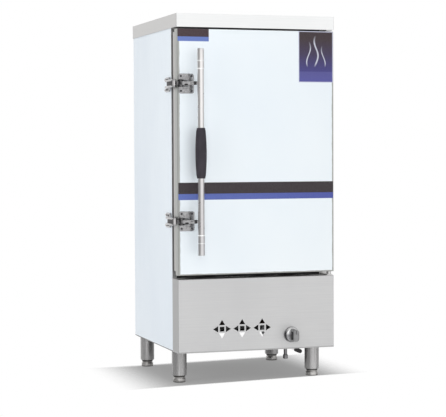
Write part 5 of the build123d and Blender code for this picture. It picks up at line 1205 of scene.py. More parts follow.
add(tree, "OutputMaterial", {"Surface": add(tree, "BsdfPrincipled", finish)})
black_plastic = material
shape = bmesh.new()
collars = bmesh.new()
for z in LATCH_HEIGHTS:
    along_neck = Matrix.Translation((0, 0, z)) @ along_arm @ along
    add_part(shape, turned(nut, steps=32), along_neck)
    add_part(collars, turned(collar, steps=32), along_neck)
make_piece("handle_neck_nuts", shape, black_plastic, "dark_plastic", "handle", "latch_neck_nuts")
make_piece("handle_neck_collars", collars, chrome, "chrome", "handle", "latch_neck_nuts")

# Each keeper is a chromed casting on the cabinet's side. A flat plate with two tail wings is
# held by four screws, and an arm comes forward from it to a fork that carries a roller.
SIDE_X = -347.0
KEEPER_THICK = 5.0
KEEPER_OUT = -378.43
KEEPER_IN = -366.0
ARM_HALF = 16.5
EAR_THICK = 4.0
ROLLER = (-370.43, -31.0)
WING = ((93, 16.5), (105, 31), (155, 31), (187, 22), (155, 12), (123, 6))
ARM_BACK = ((-366, -20), (-366, 63), (-352, 90), (-347, 93))
ARM = ((-347, 126), (-356, 121), (KEEPER_OUT, 78), (KEEPER_OUT, -20), *ARM_BACK)
ARM_CORE = ((-347, 118), (-351, 116), (-371, 74), (-371, -20), *ARM_BACK)
KEEPER_SCREWS = ((123, -22), (123, 22), (148, -22), (148, 22))
RAIL_TALL = 8.0


def plate(points, thick, edge):
    """A flat shape of X and Y points, raised along Z, with its upper edge rounded."""
    shape = bmesh.new()
    shape.faces.new([shape.verts.new((x, y, 0)) for x, y in points])
    lifted = bmesh.ops.extrude_face_region(shape, geom=shape.faces[:])["geom"]
    upper = [item for item in lifted if isinstance(item, bmesh.types.BMVert)]
    bmesh.ops.translate(shape, verts=upper, vec=(0, 0, thick))
    bmesh.ops.recalc_face_normals(shape, faces=shape.faces)
    bevel_edges(shape, [line for line in shape.edges if line.calc_face_angle(0) > 0.4], edge)
    return shape


# This lays a flat piece on the cabinet's left side: its X runs to the front and its Y up.
to_side = Matrix(((0, 0, -1, 0), (-1, 0, 0, 0), (0, 1, 0, 0), (0, 0, 0, 1)))
shape = bmesh.new()
cores = bmesh.new()
pins = bmesh.new()
for z in LATCH_HEIGHTS:
    outline = [(-y, up) for y, up in WING] + [(-y, -up) for y, up in reversed(WING)]
    at = Matrix.Translation((SIDE_X, 0, z))
    add_part(shape, plate(outline, KEEPER_THICK, 1.2), at @ to_side)
    for side in (-1, 1):
        rail = rounded_plate(62, 5.0, 2.4, 2.2, 1.2)
        spot = Matrix.Translation((SIDE_X - KEEPER_THICK + 0.4, 134, z + side * 25.5))
        add_part(shape, rail, spot @ to_side)
    add_part(cores, plate(ARM_CORE, 2 * ARM_HALF - 2, 0.8), Matrix.Translation((0, 0, z - ARM_HALF + 1)))
    for side in (-1, 1):
        middle = z + side * (ARM_HALF - RAIL_TALL / 2)
        add_part(shape, plate(ARM, RAIL_TALL, 1.6), Matrix.Translation((0, 0, middle - RAIL_TALL / 2)))
        low, high = sorted((z + side * (ARM_HALF - EAR_THICK), z + side * ARM_HALF))
        rounds = ((*ROLLER, 7.0), ((KEEPER_OUT + KEEPER_IN) / 2, -16, 6.2))
        add_part(shape, linked(rounds, low, high, 0.9))
    profile = [(radius * 2.5, height * 18) for radius, height in pin]
    add_part(pins, turned(profile, steps=20), Matrix.Translation((*ROLLER, z)))
make_piece("keeper_castings", shape, chrome, "chrome", "cabinet", "latch_keepers")

# The arm's hollow side is painted a dark, dull grey, as painted shade in the hollow between its rails.
shaded_hollow_steel = polished_steel("shaded hollow steel", "5A595C", "343335", 0.42, (5, 5, 5))
make_piece("keeper_arm_hollows", cores, shaded_hollow_steel, "chrome", "cabinet", "latch_keepers")
make_piece("roller_rivets", pins, chrome, "chrome", "cabinet", "keeper_roller_pins")

# The rollers are plain hardened steel sleeves with rounded ends, bored to spin on the keepers'
# pins. They are ground bright, like the handle's tube.
ROLLER_R = 6.0
ROLLER_HALF = 12.0
ROLLER_BORE = 2.6

upper_half = (
    (ROLLER_R, ROLLER_HALF - 0.8),
    (ROLLER_R - 0.8, ROLLER_HALF),
    (ROLLER_BORE + 0.6, ROLLER_HALF),
    (ROLLER_BORE, ROLLER_HALF - 0.6),
)
roller = [(radius, -height) for radius, height in reversed(upper_half)] + list(upper_half)
for z, body in zip(LATCH_HEIGHTS, ("lower_keeper_roller", "upper_keeper_roller")):
    node = "keeper_roller_" + body.split("_")[0]
    shape = bmesh.new()
    add_part(shape, turned(roller, steps=32, ring=True), Matrix.Translation((*ROLLER, z)))
    make_piece(node + "_sleeve", shape, tube_steel, "chrome", body, node)

# Small round headed steel screws hold the back sheet to the cabinet and the keepers to its
# side. Each has a socket in its head for the driver.
BACK_Y = 705.0
BACK_SCREW_X = 338.5
BACK_SCREW_HEIGHTS = [199 + i * 258.0 for i in range(6)]
shape = bmesh.new()
for z in LATCH_HEIGHTS:
    for y, up in KEEPER_SCREWS:
        at = Matrix.Translation((SIDE_X - KEEPER_THICK, y, z + up))
        add_part(shape, screw(4.8, 2.4), at @ to_side)
to_back = Matrix.Rotation(-math.pi / 2, 4, "X")
for x in (-BACK_SCREW_X, BACK_SCREW_X):
    for z in BACK_SCREW_HEIGHTS:
        add_part(shape, screw(4.8, 2.4), Matrix.Translation((x, BACK_Y, z)) @ to_back)
make_piece("cabinet_screw_heads", shape, screw_steel, "chrome", "cabinet", "cabinet_screws")

# The gas knob is a chromed casting: a round skirt with a tall bar to grip, whose upper end
# carries a dark pointer line. It stands off a dished chrome bezel on the panel.
KNOB_X = 152.0
KNOB_Z = 200.0
SKIRT_BACK = -6.5
SKIRT_FRONT = -19.5
BAR_FRONT = -62.0
BAR_WIDTH = 31.0
BAR_HEIGHT = 54.0
BAR_TAPER = 4.0
STEM_R = 4.0
STEM_BACK = 33.0
FACE_HIGHLIGHT_RISE = 12.0
RIM_R = 29.2
RIM_SHADE_HEIGHT = 10.0
RIM_HIGHLIGHT_HEIGHT = 26.0
FLANK_X = 13.1
FLANK_SHADE_DEPTH = -42.0
FLANK_HIGHLIGHT_DEPTH = -22.0

knob_at = Matrix.Translation((KNOB_X, 0, KNOB_Z)) @ to_front
bezel = (
    (6.6, 0),
    (34.0, 0),
    (34.0, 0.7),
    (33.2, 1.7),
    (32.2, 2.0),
    (31.2, 1.8),
    (29.8, 1.0),
    (13.0, 1.0),
    (11.5, 1.6),
    (6.6, 1.6),
)
shape = bmesh.new()
add_part(shape, turned(bezel, steps=64, ring=True), knob_at)
make_piece("knob_rose", shape, chrome, "chrome", "cabinet", "knob_bezel")

knob = (
    (0, -SKIRT_BACK + 4),
    (27.0, -SKIRT_BACK + 4),
    (28.5, -SKIRT_BACK + 0.6),
    (29.5, -SKIRT_BACK),
    (31.4, -SKIRT_BACK),
    (32.0, -SKIRT_BACK + 0.8),
    (31.6, -SKIRT_BACK + 3.5),
    (28.6, -SKIRT_FRONT - 2.0),
    (27.6, -SKIRT_FRONT - 0.6),
    (26.0, -SKIRT_FRONT),
    (0, -SKIRT_FRONT),
)
shape = bmesh.new()
add_part(shape, turned(knob, steps=64), knob_at)
stem = (
    (0, 1 - SKIRT_FRONT),
    (STEM_R, 1 - SKIRT_FRONT),
    (STEM_R, 0.8 - STEM_BACK),
    (STEM_R - 0.8, -STEM_BACK),
    (0, -STEM_BACK),
)
add_part(shape, turned(stem, steps=24), knob_at)

# Bright chrome with painted light: its face is painted from grey at the middle to white above, and its
# rim from dark below to bright above, as painted highlight and shade. A few dull spots break the shine.
material, tree = new_tree("knob skirt chrome")
place = add(tree, "TexCoord", out="Object")
heart = to_frame @ Vector((KNOB_X, 0, KNOB_Z))
flat = add(tree, "Mapping", {"Vector": place, "Location": (-heart.x, 0, -heart.z), "Scale": (1, 0, 1)})
radius = add(tree, "VectorMath", {0: flat}, "Value", operation="LENGTH")
height = add(tree, "SeparateXYZ", {"Vector": flat}, "Z")
spots = add(tree, "TexNoise", {"Vector": place, "Scale": 1000 / 16.7, "Detail": 4.0, "Roughness": 0.6})
share = add(tree, "MapRange", {"Value": height, "From Min": 0.0, "From Max": 0.001 * FACE_HIGHLIGHT_RISE})
face = add(tree, "Mix", {0: share, 6: linear("98989A"), 7: linear("FFFFFF")}, 2, data_type="RGBA")
share = add(
    tree, "MapRange", {"Value": spots, "From Min": 0.35, "From Max": 0.75, "To Min": 0.0, "To Max": 0.25}
)
face = add(tree, "Mix", {0: share, 6: face, 7: linear("8A8A8C")}, 2, data_type="RGBA")
sockets = {"Value": height, "From Min": 0.001 * RIM_SHADE_HEIGHT, "From Max": 0.001 * RIM_HIGHLIGHT_HEIGHT}
share = add(tree, "MapRange", sockets)
rim = add(tree, "Mix", {0: share, 6: linear("5C5C5E"), 7: linear("F4F4F4")}, 2, data_type="RGBA")
sockets = {"Value": radius, "From Min": 0.001 * (RIM_R - 0.4), "From Max": 0.001 * (RIM_R + 0.4)}
share = add(tree, "MapRange", sockets)
colour = add(tree, "Mix", {0: share, 6: face, 7: rim}, 2, data_type="RGBA")
dull = add(
    tree, "MapRange", {"Value": spots, "From Min": 0.3, "From Max": 0.7, "To Min": 0.16, "To Max": 0.24}
)
finish = {"Base Color": colour, "Metallic": 1.0, "Roughness": dull}
add(tree, "OutputMaterial", {"Surface": add(tree, "BsdfPrincipled", finish)})
make_piece("knob_skirt", shape, material, "chrome", "gas_knob", "gas_knob")

# Chrome over a rougher casting: the bar's front is an even dull grey, and its flanks are painted
# from dark at the front to pale beside the skirt, as painted shade and highlight.
material, tree = new_tree("knob bar casting")
place = add(tree, "TexCoord", out="Object")
across = add(tree, "SeparateXYZ", {"Vector": place}, "X")
depth = add(tree, "SeparateXYZ", {"Vector": place}, "Y")
spots = add(tree, "TexNoise", {"Vector": place, "Scale": 1000 / 16.7, "Detail": 4.0, "Roughness": 0.6})
off = add(tree, "Math", {0: across, 1: heart.x}, operation="SUBTRACT")
off = add(tree, "Math", {0: off}, operation="ABSOLUTE")
share = add(tree, "MapRange", {"Value": spots, "From Min": 0.3, "From Max": 0.75})
face = add(tree, "Mix", {0: share, 6: linear("868687"), 7: linear("A0A0A1")}, 2, data_type="RGBA")
sockets = {
    "Value": depth,
    "From Min": heart.y + 0.001 * FLANK_SHADE_DEPTH,
    "From Max": heart.y + 0.001 * FLANK_HIGHLIGHT_DEPTH,
}
share = add(tree, "MapRange", sockets)
flank = add(tree, "Mix", {0: share, 6: linear("38383A"), 7: linear("D8D8DA")}, 2, data_type="RGBA")
sockets = {"Value": off, "From Min": 0.001 * (FLANK_X - 0.5), "From Max": 0.001 * (FLANK_X + 0.5)}
share = add(tree, "MapRange", sockets)
colour = add(tree, "Mix", {0: share, 6: face, 7: flank}, 2, data_type="RGBA")
dull = add(
    tree, "MapRange", {"Value": spots, "From Min": 0.3, "From Max": 0.7, "To Min": 0.30, "To Max": 0.40}
)
relief = add(tree, "Bump", {"Height": spots, "Strength": 0.1, "Distance": 0.0004})
finish = {"Base Color": colour, "Metallic": 0.9, "Roughness": dull, "Normal": relief}
add(tree, "OutputMaterial", {"Surface": add(tree, "BsdfPrincipled", finish)})
bar = rounded_plate(BAR_WIDTH, BAR_HEIGHT, 0.45 * BAR_WIDTH, SKIRT_FRONT - BAR_FRONT, 3.0)
for corner in bar.verts:
    part = corner.co.z / (SKIRT_FRONT - BAR_FRONT)
    corner.co.x *= 1 - part * BAR_TAPER / BAR_WIDTH
    corner.co.y *= 1 - part * BAR_TAPER / BAR_HEIGHT
shape = bmesh.new()
add_part(shape, bar, Matrix.Translation((KNOB_X, SKIRT_FRONT, KNOB_Z)) @ to_front)
make_piece("knob_bar", shape, material, "chrome", "gas_knob", "gas_knob")
shape = bmesh.new()
pointer = rounded_plate(2.4, 15.0, 1.1, 0.35, 0.15)
add_part(shape, pointer, Matrix.Translation((KNOB_X, 0.2 + BAR_FRONT, KNOB_Z + 14.0)) @ to_front)
make_piece("knob_pointer", shape, black_nylon_and_shade, "dark_plastic", "gas_knob")

# Gas and water come through zinc plated steel pipes, screwed together behind the panel. The
# plate is a pale bluish grey with a cloudy bloom, and its specks are drawn 1.7 mm wide to show.
material, tree = new_tree("zinc plate")
place = add(tree, "TexCoord", out="Object")
bloom = add(tree, "TexNoise", {"Vector": place, "Scale": 1000 / 14.3, "Detail": 4.0, "Roughness": 0.6})
speck = add(tree, "TexNoise", {"Vector": place, "Scale": 1000 / 1.67, "Detail": 2.0, "Roughness": 0.5})
share = add(tree, "MapRange", {"Value": bloom, "From Min": 0.3, "From Max": 0.7})
colour = add(tree, "Mix", {0: share, 6: linear("8E9093"), 7: linear("B4B7BA")}, 2, data_type="RGBA")
dull = add(
    tree, "MapRange", {"Value": bloom, "From Min": 0.3, "From Max": 0.7, "To Min": 0.38, "To Max": 0.55}
)
relief = add(tree, "Bump", {"Height": speck, "Strength": 0.1, "Distance": 0.0002})
finish = {"Base Color": colour, "Metallic": 0.85, "Roughness": dull, "Normal": relief}
add(tree, "OutputMaterial", {"Surface": add(tree, "BsdfPrincipled", finish)})
zinc = material
dress(zinc, "gas_inlet_pipe", "valve_outlet_pipe", "water_inlet_pipe")

# The burner is a cast iron chest with five bars screwed into it. The iron is rough from the sand
# mould, nearly black with soot, and rusty brown in patches. The sand is drawn 2.4 mm coarse.
material, tree = new_tree("cast iron")
place = add(tree, "TexCoord", out="Object")
sand = add(tree, "TexNoise", {"Vector": place, "Scale": 1000 / 2.38, "Detail": 6.0, "Roughness": 0.65})
rust = add(tree, "TexNoise", {"Vector": place, "Scale": 1000 / 26.3, "Detail": 5.0, "Roughness": 0.6})
share = add(tree, "MapRange", {"Value": rust, "From Min": 0.45, "From Max": 0.72})
colour = add(tree, "Mix", {0: share, 6: linear("232122"), 7: linear("4A342A")}, 2, data_type="RGBA")
dull = add(
    tree, "MapRange", {"Value": rust, "From Min": 0.3, "From Max": 0.7, "To Min": 0.68, "To Max": 0.85}
)
relief = add(tree, "Bump", {"Height": sand, "Strength": 0.5, "Distance": 0.0010})
finish = {"Base Color": colour, "Metallic": 0.3, "Roughness": dull, "Normal": relief}
add(tree, "OutputMaterial", {"Surface": add(tree, "BsdfPrincipled", finish)})
dress(material, "burner_bars", "burner_manifold")

# The float is a ball of two soldered copper shells on a rod. The copper has gone brown in the
# water, in stains a centimetre or two wide.
material, tree = new_tree("water browned copper")
place = add(tree, "TexCoord", out="Object")
stretched = add(tree, "Mapping", {"Vector": place, "Scale": per_metre(18.2, 18.2, 11.1)})
stain = add(tree, "TexNoise", {"Vector": stretched, "Scale": 1.0, "Detail": 5.0, "Roughness": 0.6})
share = add(tree, "MapRange", {"Value": stain, "From Min": 0.35, "From Max": 0.7})
colour = add(tree, "Mix", {0: share, 6: linear("B87348"), 7: linear("7C5138")}, 2, data_type="RGBA")
dull = add(
    tree, "MapRange", {"Value": stain, "From Min": 0.3, "From Max": 0.7, "To Min": 0.26, "To Max": 0.48}
)
relief = add(tree, "Bump", {"Height": stain, "Strength": 0.1, "Distance": 0.0004})
finish = {"Base Color": colour, "Metallic": 1.0, "Roughness": dull, "Normal": relief}
add(tree, "OutputMaterial", {"Surface": add(tree, "BsdfPrincipled", finish)})
dress(material, "float_arm")

# The steam chamber is welded from thin stainless sheet with a plain mill finish, and so are
# the posts, the tray rails, the slotted steam plate and the level box. The finish is an even
# grey without a grain, and its mottle is drawn 7 mm wide so that it shows.
chamber_steel = brushed_steel("mill finish steel", "C6C5C4", "B2B1B0", (7.14, 7.14, 7.14), 0.3, 0.9)
dress(chamber_steel, "chamber_liner", "rack_posts", "tray_rails", "steam_plate", "level_box", "flue_collar")

# The tank, the skirt round the flames and the flue duct are the same sheet, but the heat
# of the burner has turned it straw coloured and blue low down.
TINT_FOOT = 270.0
TINT_HEAD = 460.0

material, tree = new_tree("heat tinted steel")
place = add(tree, "TexCoord", out="Object")
height = add(tree, "SeparateXYZ", {"Vector": place}, "Z")
waves = add(tree, "TexNoise", {"Vector": place, "Scale": 1000 / 111, "Detail": 4.0, "Roughness": 0.6})
level = add(tree, "Math", {0: waves, 1: 0.12, 2: height}, operation="MULTIPLY_ADD")
sockets = {"Value": level, "From Min": 0.001 * TINT_FOOT, "From Max": 0.001 * TINT_HEAD}
share = add(tree, "MapRange", sockets)
tint = add(
    tree,
    "ValToRGB",
    {"Fac": share},
    stops=(
        (0.0, linear("5D5F74")),
        (0.25, linear("7A6A78")),
        (0.5, linear("A58E68")),
        (0.75, linear("B9AE98")),
        (1.0, linear("BEBCB9")),
    ),
)
marks = add(tree, "TexNoise", {"Vector": place, "Scale": 1000 / 6.25, "Detail": 3.0, "Roughness": 0.6})
dull = add(
    tree, "MapRange", {"Value": marks, "From Min": 0.3, "From Max": 0.7, "To Min": 0.3, "To Max": 0.42}
)
relief = add(tree, "Bump", {"Height": marks, "Strength": 0.1, "Distance": 0.0004})
finish = {"Base Color": tint, "Metallic": 0.9, "Roughness": dull, "Normal": relief}
add(tree, "OutputMaterial", {"Surface": add(tree, "BsdfPrincipled", finish)})
dress(material, "water_tank", "flame_skirt", "flue_duct")

# The drain ends in a small steel cock under the cabinet: a plain pipe stub above, then a
# wider spout. Its body has six flats at both ends, and a gland nut holds the stem.
DRAIN_X = 181.0
DRAIN_Y = 150.0
COCK_FOOT = 122.0
COCK_HEAD = 154.0
COCK_R = 14.0
DRAIN_BORE = 6.0
STUB_R = 7.5
SPOUT_R = 10.5
SPOUT_FOOT = 77.0
SPOUT_HEAD = 95.0
BOSS_FRONT = 130.0
LEVER_Z = 138.0

# Bare pipe steel: a darker mirror than the handle, with dull grey spots. Its darker tone is partly painted
# shade, for its place under the cabinet.
drain_steel = polished_steel("drain steel", "9C9B9D", "6C6B6D", 0.2, (5, 5, 1.11))
dress(drain_steel, "drain_pipe")


def hexagon(radius, low, high, edge):
    """Six flats between two heights, with eased ends."""
    shape = bmesh.new()
    bmesh.ops.create_cone(
        shape,
        cap_ends=True,
        segments=6,
        radius1=radius,
        radius2=radius,
        depth=high - low,
        matrix=Matrix.Translation((0, 0, (low + high) / 2)),
    )
    bevel_edges(shape, [line for line in shape.edges if line.calc_face_angle(0) > 0.5], edge, 2)
    return shape


cock = (
    (DRAIN_BORE, SPOUT_FOOT + 0.6),
    (DRAIN_BORE + 0.6, SPOUT_FOOT),
    (SPOUT_R - 2.0, SPOUT_FOOT),
    (SPOUT_R, SPOUT_FOOT + 2.0),
    (SPOUT_R, SPOUT_HEAD - 1.5),
    (SPOUT_R - 1.5, SPOUT_HEAD),
    (STUB_R, SPOUT_HEAD),
    (STUB_R, COCK_FOOT),
    (COCK_R - 3.0, COCK_FOOT),
    (COCK_R - 2.0, COCK_FOOT + 8.0),
    (COCK_R - 1.0, COCK_FOOT + 12.0),
    (COCK_R - 1.0, COCK_HEAD - 12.0),
    (COCK_R - 2.0, COCK_HEAD - 8.0),
    (COCK_R - 3.0, COCK_HEAD),
    (DRAIN_BORE, COCK_HEAD),
)
shape = bmesh.new()
add_part(shape, turned(cock, ring=True), Matrix.Translation((DRAIN_X, DRAIN_Y, 0)))
boss = ((STEM_R + 0.1, -11.0), (8.0, -11.0), (8.0, -2.5), (6.6, -2.0), (6.6, 0), (STEM_R + 0.1, 0))
boss_at = Matrix.Translation((DRAIN_X, BOSS_FRONT, LEVER_Z)) @ to_front
add_part(shape, turned(boss, steps=32, ring=True), boss_at)
make_piece("drain_cock_casting", shape, drain_steel, "stainless", "cabinet", "drain_cock")
shape = bmesh.new()
for low, high in ((COCK_FOOT + 0.3, COCK_FOOT + 8.0), (COCK_HEAD - 8.0, COCK_HEAD - 0.3)):
    add_part(shape, hexagon(COCK_R - 0.1, low, high, 0.8), Matrix.Translation((DRAIN_X, DRAIN_Y, 0)))
make_piece("drain_cock_flats", shape, drain_steel, "stainless", "cabinet")

# The drain lever is a stainless strip on the cock's stem, fixed by a small nut, with a soft
# black sleeve over its outer half.
LEVER_FRONT = 126.5
LEVER_BACK = 129.5
LEVER_REACH = 66.0
LEVER_DROOP = math.radians(26)
SLEEVE_START = 46.0

lever_at = Matrix.Translation((DRAIN_X, 0, LEVER_Z)) @ Matrix.Rotation(LEVER_DROOP, 4, "Y") @ to_front
strip = linked(((0, 0, 9.0), (LEVER_REACH, 0, 6.0)), -LEVER_BACK, -LEVER_FRONT, 0.5)
shape = bmesh.new()
add_part(shape, strip, lever_at)
add_part(shape, hexagon(6.4, 0.1 - LEVER_FRONT, 3.0 - LEVER_FRONT, 0.6), lever_at)
tip = 3.6 - LEVER_FRONT
stem = (
    (0, -142),
    (STEM_R - 0.5, -142),
    (STEM_R, -141.5),
    (STEM_R, tip - 0.5),
    (STEM_R - 0.5, tip),
    (0, tip),
)
add_part(shape, turned(stem, steps=24), lever_at)
make_piece("drain_lever_strip", shape, tube_steel, "stainless", "drain_lever", "drain_lever")
shape = bmesh.new()
sleeve = linked(((SLEEVE_START, 0, 9.9), (LEVER_REACH, 0, 8.9)), -LEVER_BACK - 3.0, -LEVER_FRONT + 3.0, 2.4)
add_part(shape, sleeve, lever_at)
for reach in (48.0, 54.0, 60.0, 66.0):
    rib = rounded_plate(2.2, 12.0, 1.0, 0.5, 0.3)
    add_part(shape, rib, lever_at @ Matrix.Translation((reach, 0, -LEVER_FRONT + 2.7)))
make_piece("drain_lever_grip", shape, black_plastic, "dark_plastic", "drain_lever", "drain_lever_sleeve")

# Four round stainless legs stand under the base frame. Each is a tube welded to a square
# plate with four zinc plated hexagon bolts, and has a plug at its foot for the stud.
LEG_PLACES = ((-302, 146), (-302, 664), (302, 146), (302, 664))
LEG_FOOT = 30.0
LEG_HEAD = 136.0
LEG_R = 31.5
LEG_BORE = 29.5
PLUG_HEAD = 45.0
STUD_HOLE = 8.1
LEG_PLATE = 80.0
LEG_PLATE_THICK = 3.0
BOLT_OFFSET = 29.0

# Tube brushed along its length: grey upright streaks, drawn 2 mm wide so that they show.
leg_steel = brushed_steel("brushed leg tube", "C8C7C7", "9E9D9D", (2, 2, 111), 0.28, 0.6)
tube = (
    (STUD_HOLE, LEG_FOOT),
    (LEG_R - 0.8, LEG_FOOT),
    (LEG_R, LEG_FOOT + 0.8),
    (LEG_R, LEG_HEAD),
    (LEG_BORE, LEG_HEAD),
    (LEG_BORE, PLUG_HEAD),
    (STUD_HOLE, PLUG_HEAD),
)
weld = (
    (LEG_R - 1.0, LEG_HEAD - 2.6),
    (LEG_R + 0.4, LEG_HEAD - 2.4),
    (LEG_R + 1.8, LEG_HEAD - 0.8),
    (LEG_R + 2.0, LEG_HEAD + 0.2),
    (LEG_R - 1.0, LEG_HEAD + 0.2),
)
shape = bmesh.new()
bolts = bmesh.new()
for x, y in LEG_PLACES:
    place = Matrix.Translation((x, y, 0))
    add_part(shape, turned(tube, steps=64, ring=True), place)
    add_part(shape, turned(weld, steps=64, ring=True), place)
    top_plate = rounded_plate(LEG_PLATE, LEG_PLATE, 4.0, LEG_PLATE_THICK, 0.5)
    add_part(shape, top_plate, place @ Matrix.Translation((0, 0, LEG_HEAD)))
    for i in (-1, 1):
        for j in (-1, 1):
            at = place @ Matrix.Translation((i * BOLT_OFFSET, j * BOLT_OFFSET, 0))
            add_part(bolts, hexagon(4.9, LEG_HEAD - 4.0, LEG_HEAD - 0.8, 0.5), at)
            washer = ((2.9, LEG_HEAD - 0.8), (4.95, LEG_HEAD - 0.8), (4.95, LEG_HEAD), (2.9, LEG_HEAD))
            add_part(bolts, turned(washer, steps=24, ring=True), at)
            shank = ((0, -1), (3, -1), (3, 13), (2.2, 14), (0, 14))
            add_part(bolts, turned(shank, steps=16), at @ Matrix.Translation((0, 0, LEG_HEAD)))
make_piece("leg_tubes", shape, leg_steel, "stainless", "cabinet", "legs")
make_piece("leg_hexagon_bolts", bolts, zinc, "pipe_steel", "cabinet", "leg_bolts")

# Each leg ends in a turned steel foot with a wide base, a waist and a collar, on a stud that
# screws into the leg. Rings from the lathe, drawn 0.7 mm apart, catch the light. Its base by the
# floor and its collar under the leg's rim are painted nearly black, as painted shade.
FLOOR_SHADE_TOP = 5.0
SHADE_FADE = 3.0
COLLAR_SHADE_FOOT = 20.5
foot = (
    (0, 0.6),
    (18.0, 0.6),
    (20.0, 0),
    (24.5, 0),
    (26.0, 0.8),
    (26.5, 2.5),
    (26.5, 14.0),
    (26.0, 15.6),
    (24.0, 18.2),
    (23.5, 19.5),
    (23.5, 22.6),
    (24.3, 24.0),
    (25.5, 25.2),
    (25.5, 29.1),
    (24.9, 29.7),
    (8.0, 29.7),
    (8.0, 61.0),
    (7.0, 62.0),
    (0, 62.0),
)
material, tree = new_tree("turned foot steel")
place = add(tree, "TexCoord", out="Object")
height = add(tree, "SeparateXYZ", {"Vector": place}, "Z")
stretched = add(tree, "Mapping", {"Vector": place, "Scale": per_metre(33.3, 33.3, 0.667)})
rings = add(tree, "TexNoise", {"Vector": stretched, "Scale": 1.0, "Detail": 2.0, "Roughness": 0.5})
smear = add(tree, "TexNoise", {"Vector": place, "Scale": 1000 / 16.7, "Detail": 4.0, "Roughness": 0.6})
share = add(tree, "MapRange", {"Value": smear, "From Min": 0.3, "From Max": 0.7})
tone = add(tree, "Mix", {0: share, 6: linear("B2B0AE"), 7: linear("D2D0CE")}, 2, data_type="RGBA")
# Painted shade: near black at the base and the collar, with a wavering edge.
shade_edge_wobble = add(tree, "Math", {0: smear, 1: 0.006, 2: -0.003}, operation="MULTIPLY_ADD")
level = add(tree, "Math", {0: height, 1: shade_edge_wobble}, operation="ADD")
sockets = {
    "Value": level,
    "From Min": 0.001 * FLOOR_SHADE_TOP,
    "From Max": 0.001 * (FLOOR_SHADE_TOP - SHADE_FADE),
    "To Min": 0.0,
    "To Max": 0.8,
}
share = add(tree, "MapRange", sockets)
tone = add(tree, "Mix", {0: share, 6: tone, 7: linear("38322F")}, 2, data_type="RGBA")
sockets = {
    "Value": level,
    "From Min": 0.001 * COLLAR_SHADE_FOOT,
    "From Max": 0.001 * (COLLAR_SHADE_FOOT + SHADE_FADE),
    "To Min": 0.0,
    "To Max": 0.85,
}
share = add(tree, "MapRange", sockets)
tone = add(tree, "Mix", {0: share, 6: tone, 7: linear("2E2B2A")}, 2, data_type="RGBA")
dull = add(
    tree, "MapRange", {"Value": smear, "From Min": 0.3, "From Max": 0.7, "To Min": 0.26, "To Max": 0.42}
)
relief = add(tree, "Bump", {"Height": rings, "Strength": 0.15, "Distance": 0.0003})
finish = {"Base Color": tone, "Metallic": 0.9, "Roughness": dull, "Normal": relief}
add(tree, "OutputMaterial", {"Surface": add(tree, "BsdfPrincipled", finish)})
for (x, y), where in zip(LEG_PLACES, ("front_left", "back_left", "front_right", "back_right")):
    shape = bmesh.new()
    add_part(shape, turned(foot, steps=64), Matrix.Translation((x, y, 0)))
    name = "foot_" + where
    make_piece(name + "_turned", shape, material, "foot_metal", name, name)

# The base frame and the bars that carry the burner are welded steel angle under a sprayed
# grey enamel, which has an orange peel of 4 mm, a dull gloss and brownish dirt.
material, tree = new_tree("grey frame paint")
place = add(tree, "TexCoord", out="Object")
peel = add(tree, "TexNoise", {"Vector": place, "Scale": 1000 / 3.85, "Detail": 3.0, "Roughness": 0.5})
dirt = add(tree, "TexNoise", {"Vector": place, "Scale": 1000 / 71.4, "Detail": 5.0, "Roughness": 0.6})
share = add(tree, "MapRange", {"Value": dirt, "From Min": 0.35, "From Max": 0.75})
colour = add(tree, "Mix", {0: share, 6: linear("77787A"), 7: linear("63625F")}, 2, data_type="RGBA")
dull = add(
    tree, "MapRange", {"Value": dirt, "From Min": 0.3, "From Max": 0.7, "To Min": 0.42, "To Max": 0.6}
)
relief = add(tree, "Bump", {"Height": peel, "Strength": 0.15, "Distance": 0.0004})
finish = {"Base Color": colour, "Roughness": dull, "Normal": relief}
add(tree, "OutputMaterial", {"Surface": add(tree, "BsdfPrincipled", finish)})
dress(material, "base_frame")

# The walls and the door are filled with slabs of yellowish mineral wool, cut to size, with
# a loose face that is never quite flat. It is matt, with pale fibres, which are drawn 1 mm
# thick because real ones are too fine to show.
WOOL_CELL = 24.0
WOOL_SINK = 2.4
CHAMBER_SLABS = (
    ((-345.8, 89.2, 492.2), (-311.0, 702.8, 1548.8)),
    ((311.0, 89.2, 492.2), (345.8, 702.8, 1548.8)),
    ((-310.8, 89.2, 1461.0), (310.8, 702.8, 1548.8)),
    ((-310.8, 649.0, 492.2), (310.8, 676.8, 1406.6)),
    ((-310.8, 649.0, 1406.8), (-223.6, 676.8, 1460.8)),
    ((-196.4, 649.0, 1406.8), (310.8, 676.8, 1460.8)),
)
DOOR_SLABS = (
    ((-345.6, 1.4, 489.6), (345.6, 35.6, 1461.4)),
    ((-345.6, 1.4, 465.4), (324.4, 35.6, 489.4)),
    ((-345.6, 1.4, 1461.6), (324.4, 35.6, 1485.6)),
    ((-344.6, 35.8, 482.4), (344.6, 60.6, 1473.6)),
)

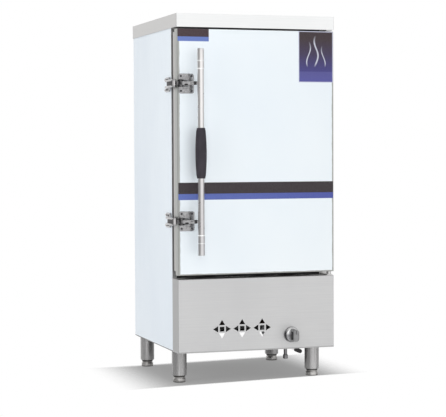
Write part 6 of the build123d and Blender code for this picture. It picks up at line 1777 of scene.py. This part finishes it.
material, tree = new_tree("mineral wool")
place = add(tree, "TexCoord", out="Object")
stretched = add(tree, "Mapping", {"Vector": place, "Scale": per_metre(1.11, 1.11, 6.25)})
fibre = add(
    tree,
    "TexNoise",
    {"Vector": stretched, "Scale": 1.0, "Detail": 6.0, "Roughness": 0.75, "Distortion": 1.5},
)
tufts = add(tree, "TexNoise", {"Vector": place, "Scale": 1000 / 25, "Detail": 5.0, "Roughness": 0.65})
share = add(tree, "MapRange", {"Value": tufts, "From Min": 0.3, "From Max": 0.7})
tone = add(tree, "Mix", {0: share, 6: linear("A4935B"), 7: linear("CBBB84")}, 2, data_type="RGBA")
share = add(
    tree, "MapRange", {"Value": fibre, "From Min": 0.35, "From Max": 0.7, "To Min": 0.0, "To Max": 0.5}
)
tone = add(tree, "Mix", {0: share, 6: tone, 7: linear("E0D6AE")}, 2, data_type="RGBA")
relief = add(tree, "Bump", {"Height": fibre, "Strength": 0.6, "Distance": 0.0015})
finish = {"Base Color": tone, "Roughness": 0.95, "Normal": relief, "Sheen Weight": 0.3}
add(tree, "OutputMaterial", {"Surface": add(tree, "BsdfPrincipled", finish)})
wool = material


def wool_slab(low, high):
    """A slab between two corners, with its faces sunk a little unevenly."""
    shape = bmesh.new()
    middle = (low + high) / 2
    half = (high - low) / 2
    for axis in range(3):
        wide, tall = [i for i in range(3) if i != axis]
        columns = max(1, round(2 * half[wide] / WOOL_CELL))
        rows = max(1, round(2 * half[tall] / WOOL_CELL))
        for side in (-1, 1):
            made = bmesh.ops.create_grid(shape, x_segments=columns, y_segments=rows, size=1)["verts"]
            for corner in made:
                spot = Vector((0, 0, 0))
                spot[axis] = side * half[axis]
                spot[wide] = corner.co.x * half[wide]
                spot[tall] = corner.co.y * half[tall]
                corner.co = middle + spot
    bmesh.ops.remove_doubles(shape, verts=shape.verts, dist=0.01)
    bmesh.ops.recalc_face_normals(shape, faces=shape.faces)
    shape.normal_update()
    for corner in shape.verts:
        x, y, z = corner.co
        swell = math.sin(x / 31 + y / 17) + math.sin(z / 43 - x / 59) + math.sin(y / 23 + z / 19)
        corner.co -= corner.normal * WOOL_SINK * (0.5 + swell / 6)
    return shape


shape = bmesh.new()
for low, high in CHAMBER_SLABS:
    add_part(shape, wool_slab(Vector(low), Vector(high)))
make_piece("chamber_wool", shape, wool, "mineral_wool", "cabinet", "chamber_insulation")
shape = bmesh.new()
for low, high in DOOR_SLABS:
    add_part(shape, wool_slab(Vector(low), Vector(high)))
make_piece("door_wool", shape, wool, "mineral_wool", "door", "door_insulation")
